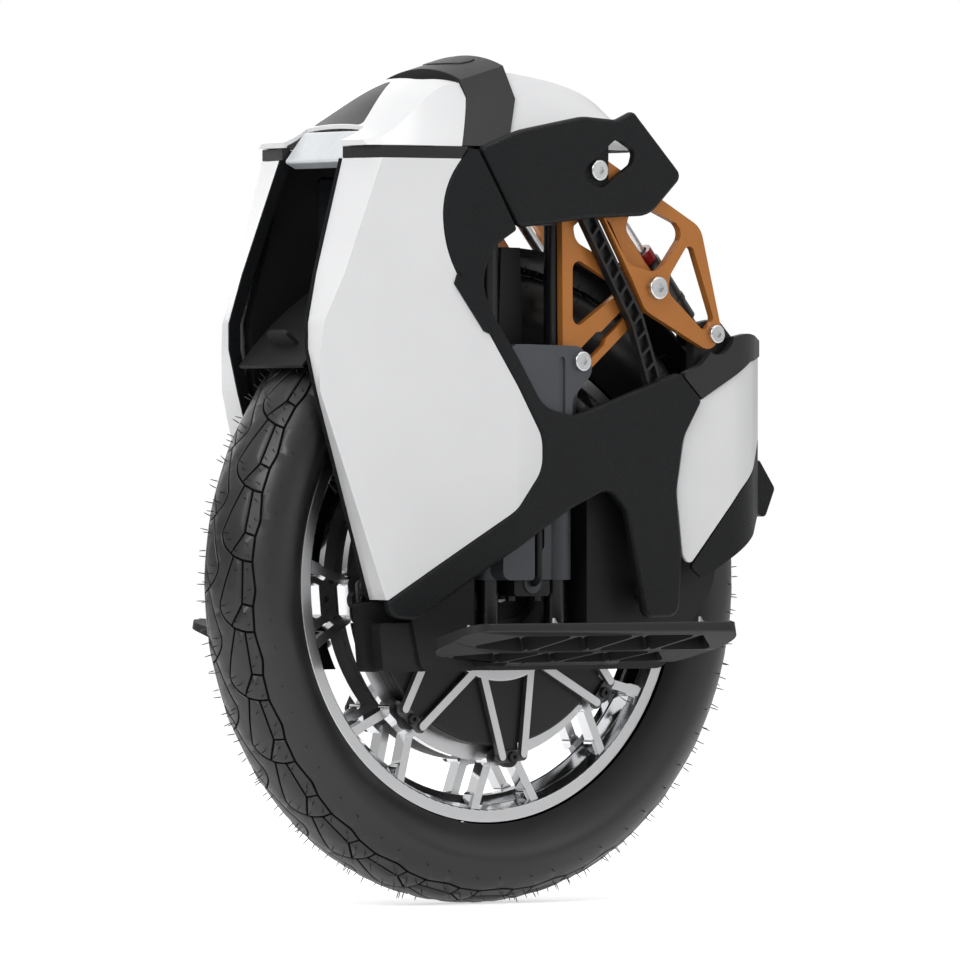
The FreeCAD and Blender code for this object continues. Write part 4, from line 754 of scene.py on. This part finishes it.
def treadCell():
    gap = tread["gap"]
    lip = tread["lip"]
    tops = []
    walls = []

    def block(corners):
        loop = closedLoop(corners)
        if not turnsLeft(loop):
            loop.reverse()
        edge = shifted(loop, gap, True)
        top = shifted(loop, gap + lip, True)
        tops.append(pillowed(fillLoop(top), top + top[:1]))
        walls.append((top + top[:1], edge + edge[:1]))

    for shift, flip in ((0.0, 1), (tread["rowShift"], -1)):
        for kind in ("leaf", "bar", "heel"):
            block(scaled(tread[kind], shift, flip))
        # sidewall from the shoulder line down to the bead
        edge = periodLine(tread["shoulder"], shift, flip, flip * gap)
        top = periodLine(tread["shoulder"], shift, flip, flip * (gap + lip))
        bead = flip * (spanTable[-1] - tread["beadGap"])
        low = Vector((top[0].x, bead))
        high = Vector((top[-1].x, bead))
        loop = top[:-1] + divided(top[-1], high, tread["grid"]) + divided(high, low, tread["grid"])
        loop += divided(low, top[0], tread["grid"])
        tops.append(pillowed(fillLoop(loop), top))
        walls.append((top, edge))
    # smooth band along the crown between the two rows
    near = [periodLine(tread["inner"], 0.0, 1, -side) for side in (gap + lip, gap)]
    far = [periodLine(tread["inner"], tread["rowShift"] - 1, -1, side, 2) for side in (gap + lip, gap)]
    loop = near[0][:-1] + divided(near[0][-1], far[0][-1], tread["grid"]) + far[0][:0:-1]
    loop += divided(far[0][0], near[0][0], tread["grid"])
    tops.append(pillowed(fillLoop(loop), near[0], far[0]))
    walls += [(near[0], near[1]), (far[0], far[1])]
    return tops, walls


# welds the repeats and turns every face away from the tyre's core
def turnOutward(mesh):
    shape = bmesh.new()
    shape.from_mesh(mesh)
    bmesh.ops.remove_doubles(shape, verts=shape.verts, dist=tread["weld"] / 1000)
    centre = Vector((0, 0, axleHeight))
    for face in shape.faces:
        face.smooth = True
        place = face.calc_center_median()
        outward = place - centre
        middle = outward - Vector((0, outward.y, 0))
        core = centre + middle.normalized() * (tread["coreRadius"] / 1000)
        if face.normal.dot(place - core) < 0:
            face.normal_flip()
    shape.to_mesh(mesh)
    shape.free()


def makeTread():
    tops, walls = treadCell()
    drops = (-tread["pillow"], -tread["pillow"] - tread["lip"], -tread["depth"] - tread["footing"])
    verts = []
    faces = []

    def add(points, lifts, along):
        first = len(verts)
        verts.extend(onTyre(point.x + along, point.y, lift) for point, lift in zip(points, lifts))
        return first

    for repeat in range(tread["repeats"]):
        along = repeat * pitch
        for points, cells, lifts in tops:
            first = add(points, lifts, along)
            faces.extend([first + i for i in cell] for cell in cells)
        for top, edge in walls:
            rows = [add(line, [drop] * len(line), along) for line, drop in zip((top, edge, edge), drops)]
            for upper, lower in zip(rows, rows[1:]):
                faces.extend([upper + i, upper + i + 1, lower + i + 1, lower + i] for i in range(len(top) - 1))
    mesh = bpy.data.meshes.new("tyreTread")
    mesh.from_pydata(verts, [], faces)
    turnOutward(mesh)
    mesh.set_sharp_from_angle(angle=math.radians(tread["sharpTurn"]))
    addPiece("tyreTread", mesh, finishes["tyre_rubber"], "wheel", ["tyre"])


# carcass that shows at the bottom of the grooves, painted darker than the tread rubber as shade in the grooves
carcass = {"rings": 168, "columns": 49, "inset": 0.2}


def makeCarcass():
    rings, width = carcass["rings"], carcass["columns"]
    edge = spanTable[-1] - carcass["inset"]
    spans = np.linspace(-edge, edge, width)
    verts = [onTyre(2 * math.pi * tyreRadius * k / rings, span, -tread["depth"])
             for k in range(rings) for span in spans]
    faces = [[k * width + i, k * width + i + 1, (k + 1) % rings * width + i + 1, (k + 1) % rings * width + i]
             for k in range(rings) for i in range(width - 1)]
    mesh = bpy.data.meshes.new("tyreCarcass")
    mesh.from_pydata(verts, [], faces)
    mesh.shade_smooth()
    # the carcass takes the painted groove shade
    addPiece("tyreCarcass", mesh, finishes["groove"], "wheel")


# moulding hairs: each place is a share of the repeat and millimetres across from the crown
hair = {
    "places": [(0.13, 18.5), (0.613, 6.0), (0.72, 10.6), (0.097, 26.8), (0.385, 29.4), (0.492, 25.7),
               (0.718, 24.6), (0.847, 16.7), (0.893, 26.8), (0.28, 44.3), (0.85, 43.6)],
    "length": 5.3, "lengthRange": (0.75, 1.15), "radius": 0.42, "sideFrom": 38, "sideShare": 0.5, "seed": 7,
    "alongWander": 1.2, "acrossWander": 0.6, "sunk": 0.3, "upReach": 5, "lean": 0.22, "bend": 0.10,
    "floorClear": 4, "sides": 5,
    # share of the length, share of the radius
    "rings": [(0.0, 1.0), (0.6, 0.9), (1.0, 0.55)],
}


def addHair(verts, faces, root, up, length):
    side = up.orthogonal().normalized()
    other = up.cross(side)
    sides = hair["sides"]
    for height, share in hair["rings"]:
        bent = root + up * (length * height) + side * (length * hair["bend"] * height * height)
        reach = hair["radius"] * share / 1000
        low = len(verts)
        for k in range(sides):
            turn = 2 * math.pi * k / sides
            verts.append(bent + side * (math.cos(turn) * reach) + other * (math.sin(turn) * reach))
        if height:
            faces.extend([low - sides + k, low - sides + (k + 1) % sides, low + (k + 1) % sides, low + k]
                         for k in range(sides))
    faces.append([low + k for k in range(sides)])


def makeHairs():
    chance = random.Random(hair["seed"])
    verts = []
    faces = []

    def wander(reach):
        return chance.uniform(-reach, reach)

    for repeat in range(tread["repeats"]):
        for u, w in hair["places"]:
            for shift, flip in ((0.0, 1), (tread["rowShift"], -1)):
                run = (u + shift + repeat) * pitch + wander(hair["alongWander"])
                span = flip * (w + wander(hair["acrossWander"]))
                root = Vector(onTyre(run, span, -hair["sunk"]))
                if root.z < hair["floorClear"] / 1000:
                    continue
                up = (Vector(onTyre(run, span, hair["upReach"])) - root).normalized()
                lean = Vector((wander(1), wander(1), wander(1))) * hair["lean"]
                length = hair["length"] * chance.uniform(*hair["lengthRange"]) / 1000
                if w > hair["sideFrom"]:
                    length *= hair["sideShare"]
                addHair(verts, faces, root, (up + lean).normalized(), length)
    mesh = bpy.data.meshes.new("tyreHairs")
    mesh.from_pydata(verts, [], faces)
    mesh.shade_smooth()
    addPiece("tyreHairs", mesh, finishes["tyre_rubber"], "wheel")


makeTread()
makeCarcass()
makeHairs()
print("tyre done")


# camera as in the picture: level, far away, turned forward of the side view
view = {"turn": 39.0, "distance": 8.0, "scale": 1.336, "axlePixel": (472, 582), "frame": 960, "sensor": 36,
        "clipEnd": 60}


def makeCamera():
    turn = math.radians(view["turn"])
    toCamera = Vector((math.sin(turn), math.cos(turn), 0))
    rightward = Vector((-math.cos(turn), math.sin(turn), 0))
    middle = view["frame"] / 2
    pixelsPerMetre = view["scale"] * 1000
    axleColumn, axleRow = view["axlePixel"]
    target = Vector((0, 0, axleHeight)) + rightward * ((middle - axleColumn) / pixelsPerMetre)
    target += Vector((0, 0, (axleRow - middle) / pixelsPerMetre))
    lens = bpy.data.cameras.new("camera")
    lens.sensor_width = view["sensor"]
    lens.lens = pixelsPerMetre * view["distance"] * view["sensor"] / view["frame"]
    lens.clip_end = view["clipEnd"]
    camera = bpy.data.objects.new("camera", lens)
    bpy.context.scene.collection.objects.link(camera)
    camera.location = target + toCamera * view["distance"]
    camera.rotation_euler = (-toCamera).to_track_quat("-Z", "Y").to_euler()
    bpy.context.scene.camera = camera


# soft studio: white surround, a broad key from the front and weaker lamps beside and above
studio = {
    "surround": 0.50, "dim": 0.22, "dimRange": (0.05, 0.55), "aim": (0, 0, 0.3),
    # name, place, size, power
    "lamps": [("key", (2.8, 1.1, 2.2), 1.6, 52), ("fill", (-2.0, 3.0, 1.6), 2.2, 13),
              ("top", (-0.2, 0.4, 3.0), 1.8, 24), ("right", (-0.6, -2.8, 1.5), 2.2, 22)],
    "floorReach": 14, "floorGlow": 0.58, "floorDark": 0.88, "floorPale": 0.91, "floorMottle": 6,
    "floorRough": 0.75,
}


def makeLamps():
    for name, place, size, power in studio["lamps"]:
        lamp = bpy.data.lights.new(name, "AREA")
        lamp.shape = "DISK"
        lamp.size = size
        lamp.energy = power
        holder = bpy.data.objects.new(name, lamp)
        bpy.context.scene.collection.objects.link(holder)
        holder.location = place
        holder.rotation_euler = (Vector(studio["aim"]) - Vector(place)).to_track_quat("-Z", "Y").to_euler()


def isRay(flow, *kinds):
    rays = [flow.node("ShaderNodeLightPath", out="Is " + kind + " Ray") for kind in kinds]
    return sum(rays[1:], rays[0])


# plain white to the eye, even grey as a light, and darker round the horizon in reflections
def makeSurround():
    world = bpy.data.worlds.new("surround")
    bpy.context.scene.world = world
    world.use_nodes = True
    world.node_tree.nodes.clear()
    sky = Flow(world.node_tree)
    direction = sky.node("ShaderNodeTexCoord", out="Generated")
    height = sky.node("ShaderNodeSeparateXYZ", values={0: direction}, out=2)
    mirrored = abs(height).ease(*studio["dimRange"]).blend(grey(studio["dim"]), grey(1))
    lit = isRay(sky, "Glossy").blend(grey(studio["surround"]), mirrored)
    seen = isRay(sky, "Camera", "Transmission").blend(lit, grey(1))
    glow = sky.node("ShaderNodeBackground", values={0: seen, 1: 1.0})
    sky.node("ShaderNodeOutputWorld", values={"Surface": glow})


def floorRecipe(bench):
    mottle = bench.noise(studio["floorMottle"], 3)
    seen = isRay(bench, "Camera", "Glossy", "Transmission")
    sockets = {"Base Color": mottle.blend(grey(studio["floorDark"]), grey(studio["floorPale"])),
               "Roughness": studio["floorRough"] + mottle * 0.1,
               "Emission Color": seen.blend(grey(0), grey(studio["floorGlow"]))}
    return sockets, {"Specular IOR Level": 0.1, "Emission Strength": 1.0}


def makeFloor():
    reach = studio["floorReach"]
    mesh = bpy.data.meshes.new("studioFloor")
    mesh.from_pydata([(-reach, -reach, 0), (reach, -reach, 0), (reach, reach, 0), (-reach, reach, 0)], [],
                     [[0, 1, 2, 3]])
    floor = bpy.data.objects.new("studioFloor", mesh)
    bpy.context.scene.collection.objects.link(floor)
    mesh.materials.append(newFinish("paleFloor", floorRecipe))


makeCamera()
makeLamps()
makeSurround()
makeFloor()
bpy.context.scene.view_settings.view_transform = "Standard"
print("camera and studio ready")
